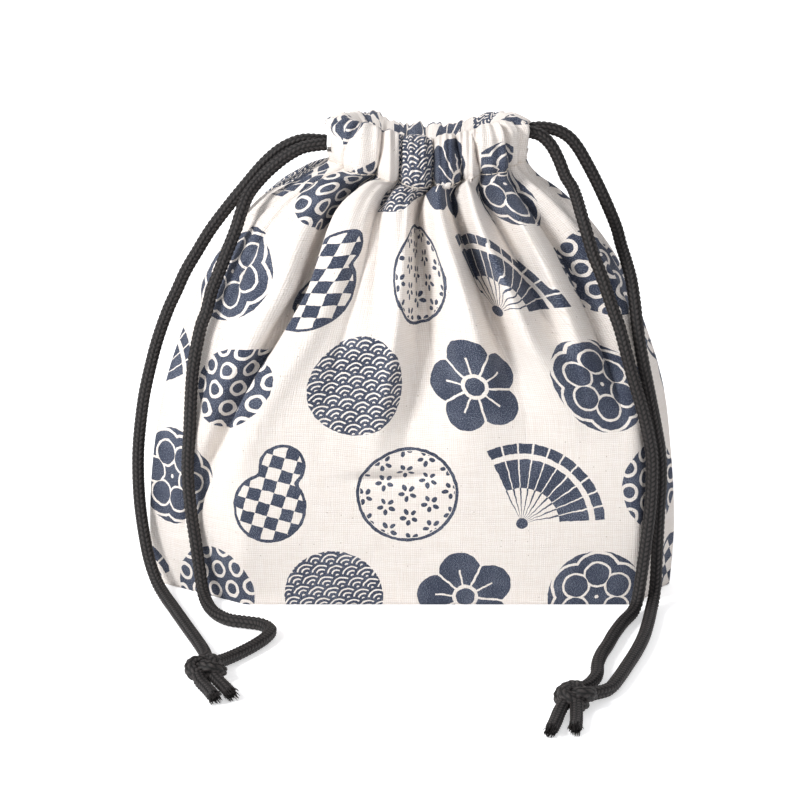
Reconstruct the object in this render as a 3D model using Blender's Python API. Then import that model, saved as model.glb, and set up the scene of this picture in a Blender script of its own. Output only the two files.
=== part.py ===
# Kinchaku: a small cotton drawstring pouch that stands on its folded base.
#
# The cloth is one sewn shell: a base, walls that draw in over a shoulder, and a top
# hem folded over into a casing, gathered tight along two cords. Each cord runs right
# round through the casing and both its ends leave by the slit in one side seam, where
# they hang down, lie on the table and end together in a knot.
#
# Run it with: blender --background --python part.py
# World units are metres. Named sizes below are millimetres and become metres by MM.

import math

import bmesh
import bpy
import numpy as np
from mathutils import Vector

MM = 0.001

# Main sizes of the standing pouch
HALF_WIDTH = 99.5
HALF_DEPTH = 35.0
STITCH_HEIGHT = 160.0

# Cloth
CLOTH = 1.2
BASE_CLOTH = 1.2

# Cords and the room they have in the casing
CORD_DIAMETER = 4.5
CORD_ROOM = 0.5

# Casing: the cord lane is a long ring with round ends, seen from above
MOUTH_CENTRE_X = 6.0
LANE_HALF_WIDTH = 29.5
LANE_HALF_DEPTH = 10.5
MOUTH_SADDLE = 3.6          # the two ends of the mouth stand this much higher than its mean
LEAD_SADDLE = 0.85          # share of that rise where the strands lead out
CASING_HEIGHT = 17.3
SEAM_ABOVE_STITCH = 2.4     # where the two layers part above the stitch line
HEM_FOLD = 1.6              # cloth left above the tunnel at the folded top edge
TUNNEL_ROUND = 0.9          # height in which the tunnel opens to its full width, and closes
TUNNEL_CROWN = 2.0
TUNNEL_FOOT = 0.6           # how far the tunnel's foot tucks in below the seam
RIM_HALF = 1.1              # half thickness of the folded top edge
CORD_LIFT = 1.3             # room below the lower cord, above the seam
SLIT_COLUMNS = 3            # half width of the side slit, in cloth columns

# Gathers: small pleats at the mouth, and long folds that run down from some of them
PLEATS_AROUND = 18
COLUMNS_PER_PLEAT = 6
OUTER_PLEAT = 4.6           # how far a ridge stands out from the casing
STITCH_PLEAT = 3.4          # the same at the stitch line, outside and inside
INNER_STITCH_PLEAT = 3.0
TUNNEL_PLEAT = 2.4
INNER_PLEAT = 1.3           # how far the turned hem puffs into the mouth
RIM_RUFFLE = 1.6
PLEAT_MEAN = 0.3            # share of a pleat that lies inside the unfolded wall
RIM_FLARE = 0.35            # share of the slit's flare at the folded edge and at the tunnel's foot
FOOT_FLARE = 0.15
LIP_ANGLES = (25, 75)       # degrees round the mouth's ends in which pleats die out
STRAND_ANGLE = 20.0         # width of the slit's lips, in the same degrees

# Plan of the base, from the left seam round the front to the right seam and back.
# Each corner is named with the share of the way round at which the cloth reaches it.
BASE_CORNERS = [
    (0 / 54, (-HALF_WIDTH, -8.0)),
    (6 / 54, (-HALF_WIDTH + 37.0, -HALF_DEPTH)),
    (23 / 54, (HALF_WIDTH - 15.2, -HALF_DEPTH)),
    (27 / 54, (HALF_WIDTH, -10.0)),
    (32 / 54, (HALF_WIDTH - 17.5, HALF_DEPTH)),
    (49 / 54, (-HALF_WIDTH + 31.5, HALF_DEPTH)),
]
CORNER_SOFTNESS = 0.004     # share of cloth over which a corner is rounded, low down
SHOULDER_SOFTNESS = 0.02    # and how much more at the mouth

# Hoops of cloth from the base to the shoulder: share of the stitch height, then how far the
# left, right, front and back stand outside the base (less than 0 is inside), saddle,
# roundness, depth of the long folds, depth of the pleats
HOOPS = [
    (0.000000, 0.0, 0.0, 0.0, 0.0, 0.0, 0.00, 0.0, 0.0),
    (0.150000, 1.2, 1.2, 2.5, 2.5, 0.0, 0.04, 0.0, 0.0),
    (0.325000, -0.9, -0.3, 4.0, 4.0, 0.0, 0.14, 0.8, 0.0),
    (0.500000, -5.5, -3.5, 3.0, 3.0, 0.0, 0.30, 4.0, 0.0),
    (0.650000, -12.5, -11.0, 0.5, 0.5, 0.0, 0.48, 7.0, 0.4),
    (0.775000, -20.5, -19.5, -4.0, -4.0, 0.3, 0.66, 8.0, 1.2),
    (0.868750, -30.0, -30.0, -8.5, -8.5, 0.8, 0.82, 7.0, 2.0),
    (0.934375, -41.0, -41.0, -13.0, -13.0, 1.6, 0.92, 4.5, 2.7),
    (0.971875, -52.5, -49.5, -17.5, -17.5, 2.6, 1.00, 2.0, 3.0),
]

# Long folds: share of the way round at the mouth, share low down, half width of cloth,
# depth beside the others, and the share of the stitch height at which the fold dies out
LONG_FOLDS = [
    (3 / 36, 0.078, 21.0, 1.00, 0.2375),
    (9 / 36, 0.238, 24.0, 0.95, 0.3000),
    (13 / 36, 0.325, 17.0, 0.60, 0.4875),
    (15 / 36, 0.388, 19.0, 0.80, 0.3750),
    (21 / 36, 0.600, 20.0, 0.90, 0.3125),
    (25 / 36, 0.700, 20.0, 0.75, 0.3875),
    (29 / 36, 0.795, 22.0, 0.95, 0.2875),
    (33 / 36, 0.905, 19.0, 0.80, 0.3500),
]
FOLD_FADE = 45.0            # height in which a long fold grows to its depth
VALLEY_SHARPNESS = 1.6
FOLD_SWELL = (0.4, 1.1, 0.5)    # height of the cloth beside a valley, where and how wide it is

# Free strands, each from its casing slit to its knot. The two strands of a cord leave
# side by side: the front one comes out of the front of the casing.
LEFT_FRONT_STRAND = [
    (-31.5, -3.0, 169.5), (-39.5, -4.0, 168.5), (-45.0, -5.0, 166.0), (-50.0, -6.0, 162.5),
    (-55.5, -7.5, 157.5), (-60.0, -12.0, 152.5), (-62.5, -16.5, 147.0), (-64.5, -19.5, 141.0),
    (-67.5, -21.5, 133.5), (-70.5, -22.5, 126.0), (-73.5, -23.5, 118.5), (-75.5, -24.5, 111.0),
    (-78.0, -24.5, 104.0), (-81.0, -25.5, 88.0), (-82.5, -26.5, 66.0), (-83.5, -27.0, 50.0),
    (-82.5, -27.5, 35.0), (-81.0, -28.5, 23.5), (-79.5, -30.5, 12.5), (-78.0, -35.0, 5.0),
    (-75.5, -43.0, 2.6), (-72.0, -52.0, 2.6), (-67.0, -58.0, 2.6), (-61.0, -60.5, 2.6),
    (-55.0, -63.0, 2.6), (-51.5, -68.5, 2.6), (-52.5, -76.0, 2.6), (-56.5, -84.5, 2.6),
    (-61.5, -92.5, 2.6), (-66.0, -99.5, 3.0), (-69.0, -105.5, 4.0),
]
LEFT_BACK_STRAND = [
    (-31.5, 3.0, 169.5), (-39.5, 2.5, 170.0), (-45.0, 2.0, 168.5), (-50.0, 2.0, 165.5),
    (-55.5, 1.5, 160.5), (-61.5, 1.0, 153.5), (-68.5, 0.5, 145.0), (-75.0, -0.5, 136.5),
    (-80.0, -1.0, 128.5), (-84.5, -1.5, 121.0), (-88.0, -2.0, 113.5), (-91.5, -3.0, 106.0),
    (-95.5, -5.0, 95.0), (-98.5, -7.0, 84.0), (-101.0, -8.5, 72.5), (-103.0, -9.5, 57.0),
    (-103.5, -10.5, 45.5), (-103.0, -12.5, 33.5), (-101.5, -15.0, 22.0), (-99.5, -18.0, 12.5),
    (-96.5, -23.0, 5.5), (-93.0, -31.0, 2.7), (-88.5, -45.0, 2.6), (-82.5, -64.0, 2.6),
    (-78.0, -78.0, 2.6), (-74.5, -89.5, 2.6), (-73.0, -97.5, 3.0), (-74.0, -104.5, 4.0),
]
RIGHT_FRONT_STRAND = [
    (43.5, -3.0, 174.0), (47.8, -3.0, 172.7), (51.6, -3.5, 169.2), (54.5, -4.5, 164.0),
    (57.0, -6.5, 158.0), (59.5, -10.5, 154.5), (61.0, -15.5, 151.0), (62.5, -20.5, 146.0),
    (64.5, -24.5, 139.5), (66.5, -27.0, 133.0), (69.0, -29.0, 127.0), (71.5, -31.0, 120.0),
    (74.0, -33.0, 113.0), (76.5, -35.0, 106.0), (80.5, -37.0, 91.5), (85.0, -37.5, 76.5),
    (88.5, -36.5, 61.0), (89.0, -37.0, 49.5), (88.5, -38.0, 38.0), (87.0, -39.5, 24.5),
    (85.5, -41.5, 13.0), (84.0, -45.0, 5.5), (82.0, -50.0, 2.7), (77.5, -61.0, 2.6),
    (73.5, -73.0, 2.6), (70.5, -84.0, 2.6), (67.5, -94.0, 2.6), (65.5, -104.0, 2.6),
    (64.5, -114.5, 2.6), (61.0, -123.5, 2.6), (56.5, -130.5, 3.6),
]
RIGHT_BACK_STRAND = [
    (43.5, 3.0, 174.0), (48.5, 3.0, 174.5), (54.0, 3.0, 173.5), (58.5, 3.0, 171.0),
    (62.0, 2.5, 167.0), (65.0, 2.0, 162.0), (68.0, 1.5, 156.5), (71.0, 0.5, 150.5),
    (74.0, -1.5, 144.0), (76.5, -5.0, 138.0), (78.0, -9.5, 132.5), (79.5, -15.0, 128.0),
    (81.0, -21.0, 122.5), (82.0, -26.5, 115.5), (83.0, -30.5, 106.5), (84.5, -32.5, 97.0),
    (87.5, -32.5, 83.0), (90.5, -31.0, 69.0), (92.5, -30.0, 58.0), (93.0, -30.5, 47.0),
    (92.5, -31.5, 35.0), (92.0, -33.0, 21.0), (91.5, -36.0, 10.0), (90.5, -40.5, 4.5),
    (89.0, -47.5, 2.6), (87.0, -60.0, 2.6), (84.0, -76.0, 2.6), (80.0, -91.5, 2.6),
    (76.0, -104.5, 2.6), (72.0, -117.0, 2.6), (68.0, -127.0, 2.6), (62.0, -134.0, 3.6),
]

# A strand's way from the lane to the slit: out from the round end's centre, off the middle
SLIT_LEAD = [(10.0, 6.8), (14.0, 4.9)]
LANE_LEAVE_ANGLE = 64.0
FREE_CORD_STEP = 12.5
LANE_CORD_STEP = 5.2

# Knots: both ends of a cord tied together, lying flat on what the pouch stands on
KNOT_MIDDLE = 3.1           # radius of the knotted turns, seen from above
KNOT_SWING = 1.6            # how far the turns swing in and out of it
KNOT_HEIGHT = 1.5           # how far they pass over and under each other
KNOT_CORD = 4.0             # the cord is squeezed where it is tied
KNOT_CORE = (3.72, 3.72, 2.48)
TABLE_GAP = 0.15            # the knots rest this close to what the pouch stands on
TAIL_HUMP = 0.6
LEFT_KNOT = (-72.3, -112.0)
LEFT_KNOT_TURN = -20.0
LEFT_TAILS = [
    [(-75.0, -114.0), (-73.5, -121.0), (-70.0, -128.5), (-67.0, -137.0)],
    [(-71.0, -113.0), (-67.5, -120.0), (-64.0, -127.0), (-61.5, -134.0)],
]
RIGHT_KNOT = (55.5, -138.0)
RIGHT_KNOT_TURN = 15.0
RIGHT_TAILS = [
    [(53.0, -140.0), (50.0, -148.0), (48.0, -156.5), (45.5, -167.0)],
    [(56.0, -141.0), (55.5, -149.0), (55.0, -157.0), (54.0, -165.0)],
]

COLUMNS = PLEATS_AROUND * COLUMNS_PER_PLEAT
CLOTH_AROUND = sum(
    math.dist(BASE_CORNERS[i][1], BASE_CORNERS[(i + 1) % len(BASE_CORNERS)][1])
    for i in range(len(BASE_CORNERS)))
LANE_GAP = CORD_DIAMETER / 2 + CORD_ROOM
LOWER_LANE = SEAM_ABOVE_STITCH + CORD_LIFT + CORD_DIAMETER / 2
UPPER_LANE = LOWER_LANE + CORD_DIAMETER + CORD_ROOM


def smooth_at(rows, position):
    """Catmull-Rom value at a position along a list of rows of numbers."""
    rows = np.asarray(rows, float)
    last = len(rows) - 1
    i = min(int(position), last - 1)
    t = position - i
    a, b = rows[max(i - 1, 0)], rows[i]
    c, d = rows[i + 1], rows[min(i + 2, last)]
    return 0.5 * (2 * b + (c - a) * t + (2 * a - 5 * b + 4 * c - d) * t ** 2
                  + (3 * b - a - 3 * c + d) * t ** 3)


def ramp(low, high, value):
    """0 below low, 1 above high, and an even S between them."""
    t = min(max((value - low) / (high - low), 0.0), 1.0)
    return t * t * (3 - 2 * t)


def base_plan(share):
    """Point of the base outline at a share of the way round, on straight edges."""
    share %= 1.0
    corners = BASE_CORNERS + [(1.0, BASE_CORNERS[0][1])]
    for (start, p), (end, q) in zip(corners, corners[1:]):
        if share <= end:
            t = (share - start) / (end - start)
            return np.array(p) * (1 - t) + np.array(q) * t
    return np.array(corners[-1][1])


def soft_plan(share, softness):
    """The base outline with its corners rounded over a share of cloth either side."""
    steps = np.linspace(-softness, softness, 9)
    return sum(base_plan(share + step) for step in steps) / len(steps)


def lane_point(share, half_width=LANE_HALF_WIDTH, half_depth=LANE_HALF_DEPTH):
    """Point and outward direction on the cord lane, from its left end round the front."""
    straight = 2 * (half_width - half_depth)
    quarter = math.pi * half_depth / 2
    around = 2 * straight + 4 * quarter
    run = (share % 1.0) * around
    back = run > around / 2
    if back:
        run = around - run
    if run < quarter:
        angle = run / half_depth
        centre, direction = -(half_width - half_depth), (-math.cos(angle), -math.sin(angle))
    elif run < quarter + straight:
        centre, direction = -(half_width - half_depth) + run - quarter, (0.0, -1.0)
    else:
        angle = (around / 2 - run) / half_depth
        centre, direction = half_width - half_depth, (math.cos(angle), -math.sin(angle))
    outward = np.array(direction)
    point = np.array((MOUTH_CENTRE_X + centre, 0.0)) + half_depth * outward
    if back:
        point[1], outward[1] = -point[1], -outward[1]
    return point, outward


def end_angle(share):
    """Angle on the lane's round end away from the side seam, and pi / 2 or more elsewhere."""
    straight = 2 * (LANE_HALF_WIDTH - LANE_HALF_DEPTH)
    around = 2 * straight + 2 * math.pi * LANE_HALF_DEPTH
    from_seam = min(share % 0.5, 0.5 - share % 0.5) * around
    return from_seam / LANE_HALF_DEPTH


def slit_flare(share):
    """How far the casing opens into lips that let two strands out side by side."""
    leave = math.radians(LANE_LEAVE_ANGLE)
    angle = end_angle(share)
    if angle >= leave:
        return 0.0
    wall = LANE_HALF_DEPTH + LANE_GAP
    lip = math.radians(STRAND_ANGLE)
    return wall * (1 / math.cos(leave - max(angle, lip)) - 1)


def ridge(share):
    """1 on a pleat's ridge and 0 in its valley, and 0 near the side slits."""
    wave = 0.5 - 0.5 * math.cos(2 * math.pi * (PLEATS_AROUND * share + 0.5))
    low, high = (math.radians(angle) for angle in LIP_ANGLES)
    return wave * ramp(low, high, end_angle(share))


def saddle(share):
    return math.cos(4 * math.pi * share)


def long_folds(share, height):
    """Relief of the long folds: sharp valleys between rounded ridges."""
    relief = 0.0
    swell_height, swell_at, swell_width = FOLD_SWELL
    for at_mouth, at_low, half_width, depth, low_share in LONG_FOLDS:
        dies_at = low_share * STITCH_HEIGHT
        along = min(max((STITCH_HEIGHT - height) / (STITCH_HEIGHT - dies_at), 0.0), 1.0)
        centre = at_mouth + (at_low - at_mouth) * along
        off = (share - centre + 0.5) % 1.0 - 0.5
        reach = abs(off) * CLOTH_AROUND / half_width
        valley = -max(0.0, 1 - reach) ** VALLEY_SHARPNESS
        swell = swell_height * math.exp(-((reach - swell_at) / swell_width) ** 2)
        relief += depth * (valley + swell) * ramp(dies_at, dies_at + FOLD_FADE, height)
    return relief


def smooth_wall(share, hoop):
    """Wall without folds: a point at a share round and a hoop position up."""
    level, left, right, front, back, lift, roundness, _, _ = smooth_at(HOOPS, hoop)
    plan = soft_plan(share, CORNER_SOFTNESS + SHOULDER_SOFTNESS * roundness)
    flat_x = plan[0] / HALF_WIDTH / 2 + 0.5
    flat_y = plan[1] / HALF_DEPTH / 2 + 0.5
    lane, _ = lane_point(share)
    round_x = (lane[0] - MOUTH_CENTRE_X) / LANE_HALF_WIDTH / 2 + 0.5
    round_y = lane[1] / LANE_HALF_DEPTH / 2 + 0.5
    across = flat_x + (round_x - flat_x) * roundness
    deep = flat_y + (round_y - flat_y) * roundness
    x = -(HALF_WIDTH + left) + (2 * HALF_WIDTH + left + right) * across
    y = -(HALF_DEPTH + front) + (2 * HALF_DEPTH + front + back) * deep
    return np.array((x, y, level * STITCH_HEIGHT + lift * saddle(share)))


def wall_point(share, hoop, inset=0.0):
    """Folded wall, or its inner face when inset by the cloth's thickness."""
    step = 0.004
    along = smooth_wall(share + step, hoop) - smooth_wall(share - step, hoop)
    low, high = max(hoop - 0.1, 0.0), min(hoop + 0.1, len(HOOPS) - 1.0)
    up = smooth_wall(share, high) - smooth_wall(share, low)
    outward = np.cross(along, up)
    outward /= np.linalg.norm(outward)
    level, *_, fold, pleat = smooth_at(HOOPS, hoop)
    relief = fold * long_folds(share, level * STITCH_HEIGHT) + pleat * (ridge(share) - PLEAT_MEAN)
    return smooth_wall(share, hoop) + outward * (relief - inset)


def casing_point(share, out, up, pleat):
    """Point of the casing: out from the cord lane, up from the stitch line."""
    lane, outward = lane_point(share)
    at = lane + outward * (out + pleat * ridge(share))
    return np.array((at[0], at[1], STITCH_HEIGHT + MOUTH_SADDLE * saddle(share) + up))


def casing_rows():
    """Rows of the casing: outer face going up, and inner face coming down."""
    skin = LANE_GAP + CLOTH
    low, high = SEAM_ABOVE_STITCH + TUNNEL_ROUND, CASING_HEIGHT - HEM_FOLD - TUNNEL_CROWN
    middle = (low + high) / 2
    outer = [
        (CLOTH, 0.0, STITCH_PLEAT, 0.0),
        (skin, low, OUTER_PLEAT, 1.0),
        (skin, middle, OUTER_PLEAT, 1.0),
        (skin, high, OUTER_PLEAT * 0.8, 1.0),
        (RIM_HALF, CASING_HEIGHT, RIM_RUFFLE, RIM_FLARE),
    ]
    inner = [
        (-RIM_HALF, CASING_HEIGHT, RIM_RUFFLE, RIM_FLARE),
        (-skin, high, -INNER_PLEAT, 0.0),
        (-skin, middle, -INNER_PLEAT, 0.0),
        (-skin, low, -INNER_PLEAT * 0.4, 0.0),
        (-CLOTH, 0.0, INNER_STITCH_PLEAT, 0.0),
    ]
    return outer, inner


def tunnel_rows():
    """Section of the tunnel the cords run in, as rows round it from its foot."""
    outer, inner = casing_rows()
    rows = [(0.0, SEAM_ABOVE_STITCH - TUNNEL_FOOT, TUNNEL_PLEAT, FOOT_FLARE)]
    rows += [(out - CLOTH, up, pleat, flare) for out, up, pleat, flare in outer[1:4]]
    rows += [(0.0, CASING_HEIGHT - HEM_FOLD, RIM_RUFFLE, RIM_FLARE)]
    rows += [(out + CLOTH, up, pleat, flare) for out, up, pleat, flare in inner[1:4]]
    return rows


def loop(bm, count, place):
    """Ring of vertices, one at each share of the way round."""
    return [bm.verts.new(Vector(place(i / count)) * MM) for i in range(count)]


def bridge(bm, low, high, skip=()):
    """Faces between two rings; the coarser ring may have half as many vertices."""
    step = len(high) // len(low)
    for i in range(len(low)):
        a, b = low[i], low[(i + 1) % len(low)]
        if step == 1:
            if i not in skip:
                bm.faces.new((a, b, high[(i + 1) % len(high)], high[i]))
            continue
        middle = high[2 * i + 1]
        bm.faces.new((a, middle, high[2 * i]))
        bm.faces.new((a, b, middle))
        bm.faces.new((b, high[(2 * i + 2) % len(high)], middle))


def slit_cells():
    """Columns of cloth left out of the casing's outer wall at the two side seams."""
    cells = set()
    for seam in (0, COLUMNS // 2):
        cells |= {(seam + k) % COLUMNS for k in range(-SLIT_COLUMNS, SLIT_COLUMNS)}
    return cells


def casing_ring(bm, row):
    out, up, pleat, flare = row
    return loop(bm, COLUMNS, lambda s: casing_point(s, out + flare * slit_flare(s), up, pleat))


def close_slit(bm, skin, tunnel, seam):
    """Cut edge of the slit: cloth between the outer face and the tunnel."""
    first, last = seam - SLIT_COLUMNS, seam + SLIT_COLUMNS
    for i in range(first, last):
        a, b = i % COLUMNS, (i + 1) % COLUMNS
        bm.faces.new((skin[0][a], skin[0][b], tunnel[0][b], tunnel[0][a]))
        bm.faces.new((skin[-1][b], skin[-1][a], tunnel[-1][a], tunnel[-1][b]))
    for low in range(len(skin) - 1):
        a, b = first % COLUMNS, last % COLUMNS
        bm.faces.new((skin[low + 1][a], skin[low][a], tunnel[low][a], tunnel[low + 1][a]))
        bm.faces.new((skin[low][b], skin[low + 1][b], tunnel[low + 1][b], tunnel[low][b]))


def pouch_mesh():
    bm = bmesh.new()
    top = len(HOOPS) - 1
    coarse = [0, 0.5, 1, 2, 3, 4]
    fine = [4.5, 5, 5.5, 6, 6.5, 7, 7.5, top]
    outer_rows, inner_rows = casing_rows()
    cells = slit_cells()

    outside = [loop(bm, COLUMNS // 2, lambda s, h=h: wall_point(s, h)) for h in coarse]
    outside += [loop(bm, COLUMNS, lambda s, h=h: wall_point(s, h)) for h in fine]
    outside += [casing_ring(bm, row) for row in outer_rows]
    slit_low = len(coarse) + len(fine) + 1
    for i, (low, high) in enumerate(zip(outside, outside[1:])):
        bridge(bm, low, high, cells if slit_low <= i < slit_low + 2 else ())

    inside = [casing_ring(bm, row) for row in inner_rows]
    inside += [loop(bm, COLUMNS, lambda s, h=h: wall_point(s, h, CLOTH)) for h in reversed(fine)]
    inside += [loop(bm, COLUMNS // 2, lambda s, h=h: wall_point(s, h, CLOTH))
               for h in reversed(coarse[1:])]
    floor = loop(bm, COLUMNS // 2, lambda s: wall_point(s, 0, CLOTH) + np.array((0, 0, BASE_CLOTH)))
    inside.append(floor)
    bridge(bm, outside[-1], inside[0])
    for high, low in zip(inside, inside[1:]):
        bridge(bm, low, high)
    bm.faces.new(list(reversed(outside[0])))
    bm.faces.new(floor)

    tunnel = [casing_ring(bm, row) for row in tunnel_rows()]
    for i in range(len(tunnel)):
        bridge(bm, tunnel[i], tunnel[(i + 1) % len(tunnel)], cells if 1 <= i < 3 else ())
    for seam in (0, COLUMNS // 2):
        close_slit(bm, outside[slit_low:slit_low + 3], tunnel[1:4], seam)

    bmesh.ops.triangulate(bm, faces=[f for f in bm.faces if len(f.verts) == 4])
    bmesh.ops.recalc_face_normals(bm, faces=bm.faces)
    mesh = bpy.data.meshes.new("pouch_cloth")
    bm.to_mesh(mesh)
    bm.free()
    return mesh


def lane_run(side, height):
    """Cord centre line round the lane, from one strand's way out to the other's."""
    straight = 2 * (LANE_HALF_WIDTH - LANE_HALF_DEPTH)
    around = 2 * straight + 2 * math.pi * LANE_HALF_DEPTH
    leave = math.radians(LANE_LEAVE_ANGLE) * LANE_HALF_DEPTH / around
    points = []
    for share in np.linspace(leave, 1 - leave, 18):
        along = share if side < 0 else 0.5 - share
        (x, y), _ = lane_point(along)
        points.append((x, y, STITCH_HEIGHT + MOUTH_SADDLE * saddle(along) + height))
    return points


def lead_out(side, depth_sign, height):
    """Points between the lane and the slit, going outward."""
    centre = MOUTH_CENTRE_X + side * (LANE_HALF_WIDTH - LANE_HALF_DEPTH)
    z = STITCH_HEIGHT + MOUTH_SADDLE * LEAD_SADDLE + height
    return [(centre + side * out, depth_sign * off, z) for out, off in SLIT_LEAD]


def drawcord_route(side, height, front, back):
    """Whole cord: knot, front strand, round the casing, back strand, knot."""
    route = list(reversed(front)) + list(reversed(lead_out(side, -1, height)))
    route += lane_run(side, height)
    return route + lead_out(side, 1, height) + list(back)


def smooth_route(route, step, fine_from=0, fine_to=0, fine_step=1.0):
    """Points on a smooth curve through the route's own, closer together over one stretch."""
    samples = 40
    along = np.arange(samples * (len(route) - 1) + 1) / samples
    places = np.array([smooth_at(route, t) for t in along])
    lengths = np.linalg.norm(np.diff(places, axis=0), axis=1)
    middle = (along[1:] + along[:-1]) / 2
    steps = np.where((middle > fine_from) & (middle < fine_to), fine_step, step)
    count = np.concatenate(([0.0], np.cumsum(lengths / steps)))
    wanted = np.linspace(0, count[-1], round(count[-1]) + 1)
    return np.column_stack([np.interp(wanted, count, places[:, axis]) for axis in range(3)])


def drawcord_points(side, height, front, back):
    route = drawcord_route(side, height, front, back)
    return smooth_route(route, FREE_CORD_STEP, len(front) - 1, len(route) - len(back),
                        LANE_CORD_STEP)


def cord_curve(name, points, diameter, closed=False):
    curve = bpy.data.curves.new(name, "CURVE")
    curve.dimensions = "3D"
    curve.bevel_depth = diameter / 2 * MM
    curve.bevel_resolution = 2
    curve.use_fill_caps = not closed
    spline = curve.splines.new("POLY")
    spline.points.add(len(points) - 1)
    for point, place in zip(spline.points, points):
        point.co = (*(Vector(place) * MM), 1.0)
    spline.use_cyclic_u = closed
    return curve


def knot_turns(centre, turn):
    """Closed overhand turns of the squeezed cord, lying flat."""
    points = []
    for t in np.linspace(0, 2 * math.pi, 37)[:-1]:
        radius = KNOT_MIDDLE + KNOT_SWING * math.cos(3 * t)
        angle = 2 * t + math.radians(turn)
        points.append((centre[0] + radius * math.cos(angle), centre[1] + radius * math.sin(angle),
                       knot_middle_height() - KNOT_HEIGHT * math.sin(3 * t)))
    return points


def knot_middle_height():
    return KNOT_HEIGHT + KNOT_CORD / 2 + TABLE_GAP


def tail_route(plan):
    """A tail leaves the knot at its middle and comes down on the table."""
    low = KNOT_CORD / 2 + TABLE_GAP
    heights = (knot_middle_height(), low + TAIL_HUMP, low, low)
    return [(x, y, z) for (x, y), z in zip(plan, heights)]


def mesh_of(curve):
    """Mesh of a curve's tube."""
    holder = bpy.data.objects.new(curve.name, curve)
    bpy.context.scene.collection.objects.link(holder)
    seen = holder.evaluated_get(bpy.context.evaluated_depsgraph_get())
    mesh = bpy.data.meshes.new_from_object(seen)
    bpy.data.objects.remove(holder, do_unlink=True)
    return mesh


def add_knot(name, centre, turn, tails, finish):
    """One tied lump: overhand turns, two tails and the cord's bulk inside them."""
    bm = bmesh.new()
    bm.from_mesh(mesh_of(cord_curve(name, knot_turns(centre, turn), KNOT_CORD, closed=True)))
    for plan in tails:
        bm.from_mesh(mesh_of(cord_curve(name, smooth_route(tail_route(plan), 4.0), KNOT_CORD)))
    mesh = bpy.data.meshes.new(name)
    bm.to_mesh(mesh)
    bm.free()
    knot = add(name, mesh, finish)

    core = bmesh.new()
    bmesh.ops.create_uvsphere(core, u_segments=12, v_segments=8, radius=MM)
    bmesh.ops.scale(core, vec=KNOT_CORE, verts=core.verts)
    core_mesh = bpy.data.meshes.new(name + "_core")
    core.to_mesh(core_mesh)
    core.free()
    core_object = add(name + "_core", core_mesh, finish)
    core_object.location = (centre[0] * MM, centre[1] * MM, knot_middle_height() * MM)
    core_object.hide_render = True
    core_object.display_type = "WIRE"

    union = knot.modifiers.new("tied_together", "BOOLEAN")
    union.operation = "UNION"
    union.solver = "EXACT"
    union.use_self = True
    union.object = core_object
    return knot


def material(name, colour, roughness):
    made = bpy.data.materials.new(name)
    made.use_nodes = True
    shader = made.node_tree.nodes["Principled BSDF"]
    shader.inputs["Base Color"].default_value = (*colour, 1.0)
    shader.inputs["Roughness"].default_value = roughness
    shader.inputs["Metallic"].default_value = 0.0
    return made


def add(name, data, finish):
    made = bpy.data.objects.new(name, data)
    data.materials.append(finish)
    bpy.context.scene.collection.objects.link(made)
    return made


def main():
    for old in list(bpy.data.objects):
        bpy.data.objects.remove(old, do_unlink=True)
    canvas = material("printed_cotton_canvas", (0.82, 0.79, 0.75), 0.9)
    braid = material("black_braided_cotton_cord", (0.045, 0.042, 0.042), 0.85)
    add("pouch_cloth", pouch_mesh(), canvas)
    left = drawcord_points(-1, LOWER_LANE, LEFT_FRONT_STRAND, LEFT_BACK_STRAND)
    right = drawcord_points(1, UPPER_LANE, RIGHT_FRONT_STRAND, RIGHT_BACK_STRAND)
    for name, points in (("left_drawcord", left), ("right_drawcord", right)):
        add(name, cord_curve(name, points, CORD_DIAMETER), braid)
    add_knot("left_knot", LEFT_KNOT, LEFT_KNOT_TURN, LEFT_TAILS, braid)
    add_knot("right_knot", RIGHT_KNOT, RIGHT_KNOT_TURN, RIGHT_TAILS, braid)


main()
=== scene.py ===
# Looks of the small drawstring pouch: printed canvas, gathered mouth, two braided drawcords.
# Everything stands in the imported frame, in metres. Sizes written here are millimetres times mm.

import math
import random

import bmesh
import bpy
import numpy as np
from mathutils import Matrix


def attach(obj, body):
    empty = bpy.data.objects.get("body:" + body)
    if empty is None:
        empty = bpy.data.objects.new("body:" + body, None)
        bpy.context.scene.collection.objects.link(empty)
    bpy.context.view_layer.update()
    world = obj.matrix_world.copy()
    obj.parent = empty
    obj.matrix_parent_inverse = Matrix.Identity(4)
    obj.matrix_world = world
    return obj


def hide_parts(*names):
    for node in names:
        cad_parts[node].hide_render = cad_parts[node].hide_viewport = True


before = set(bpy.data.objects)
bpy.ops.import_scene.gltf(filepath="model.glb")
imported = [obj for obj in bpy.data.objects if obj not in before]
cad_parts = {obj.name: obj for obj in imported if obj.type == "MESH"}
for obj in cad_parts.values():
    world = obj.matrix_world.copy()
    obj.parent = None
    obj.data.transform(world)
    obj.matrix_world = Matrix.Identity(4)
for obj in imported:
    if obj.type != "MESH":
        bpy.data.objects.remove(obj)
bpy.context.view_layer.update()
scene = bpy.context.scene
mm = 0.001
random.seed(7)
print("frame loaded")


def hexToLinear(code):
    channels = [int(code[i:i + 2], 16) / 255 for i in (1, 3, 5)]
    return (*[c / 12.92 if c <= 0.04045 else ((c + 0.055) / 1.055) ** 2.4 for c in channels], 1.0)


def addNode(tree, kind, settings=None, inputs=None):
    node = tree.nodes.new(kind)
    for name, value in (settings or {}).items():
        setattr(node, name, value)
    for name, value in (inputs or {}).items():
        if isinstance(value, bpy.types.NodeSocket):
            tree.links.new(value, node.inputs[name])
        else:
            node.inputs[name].default_value = value
    return node


def emptyMaterial(name):
    made = bpy.data.materials.new(name)
    made.use_nodes = True
    made.node_tree.nodes.clear()
    return made, made.node_tree


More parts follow.
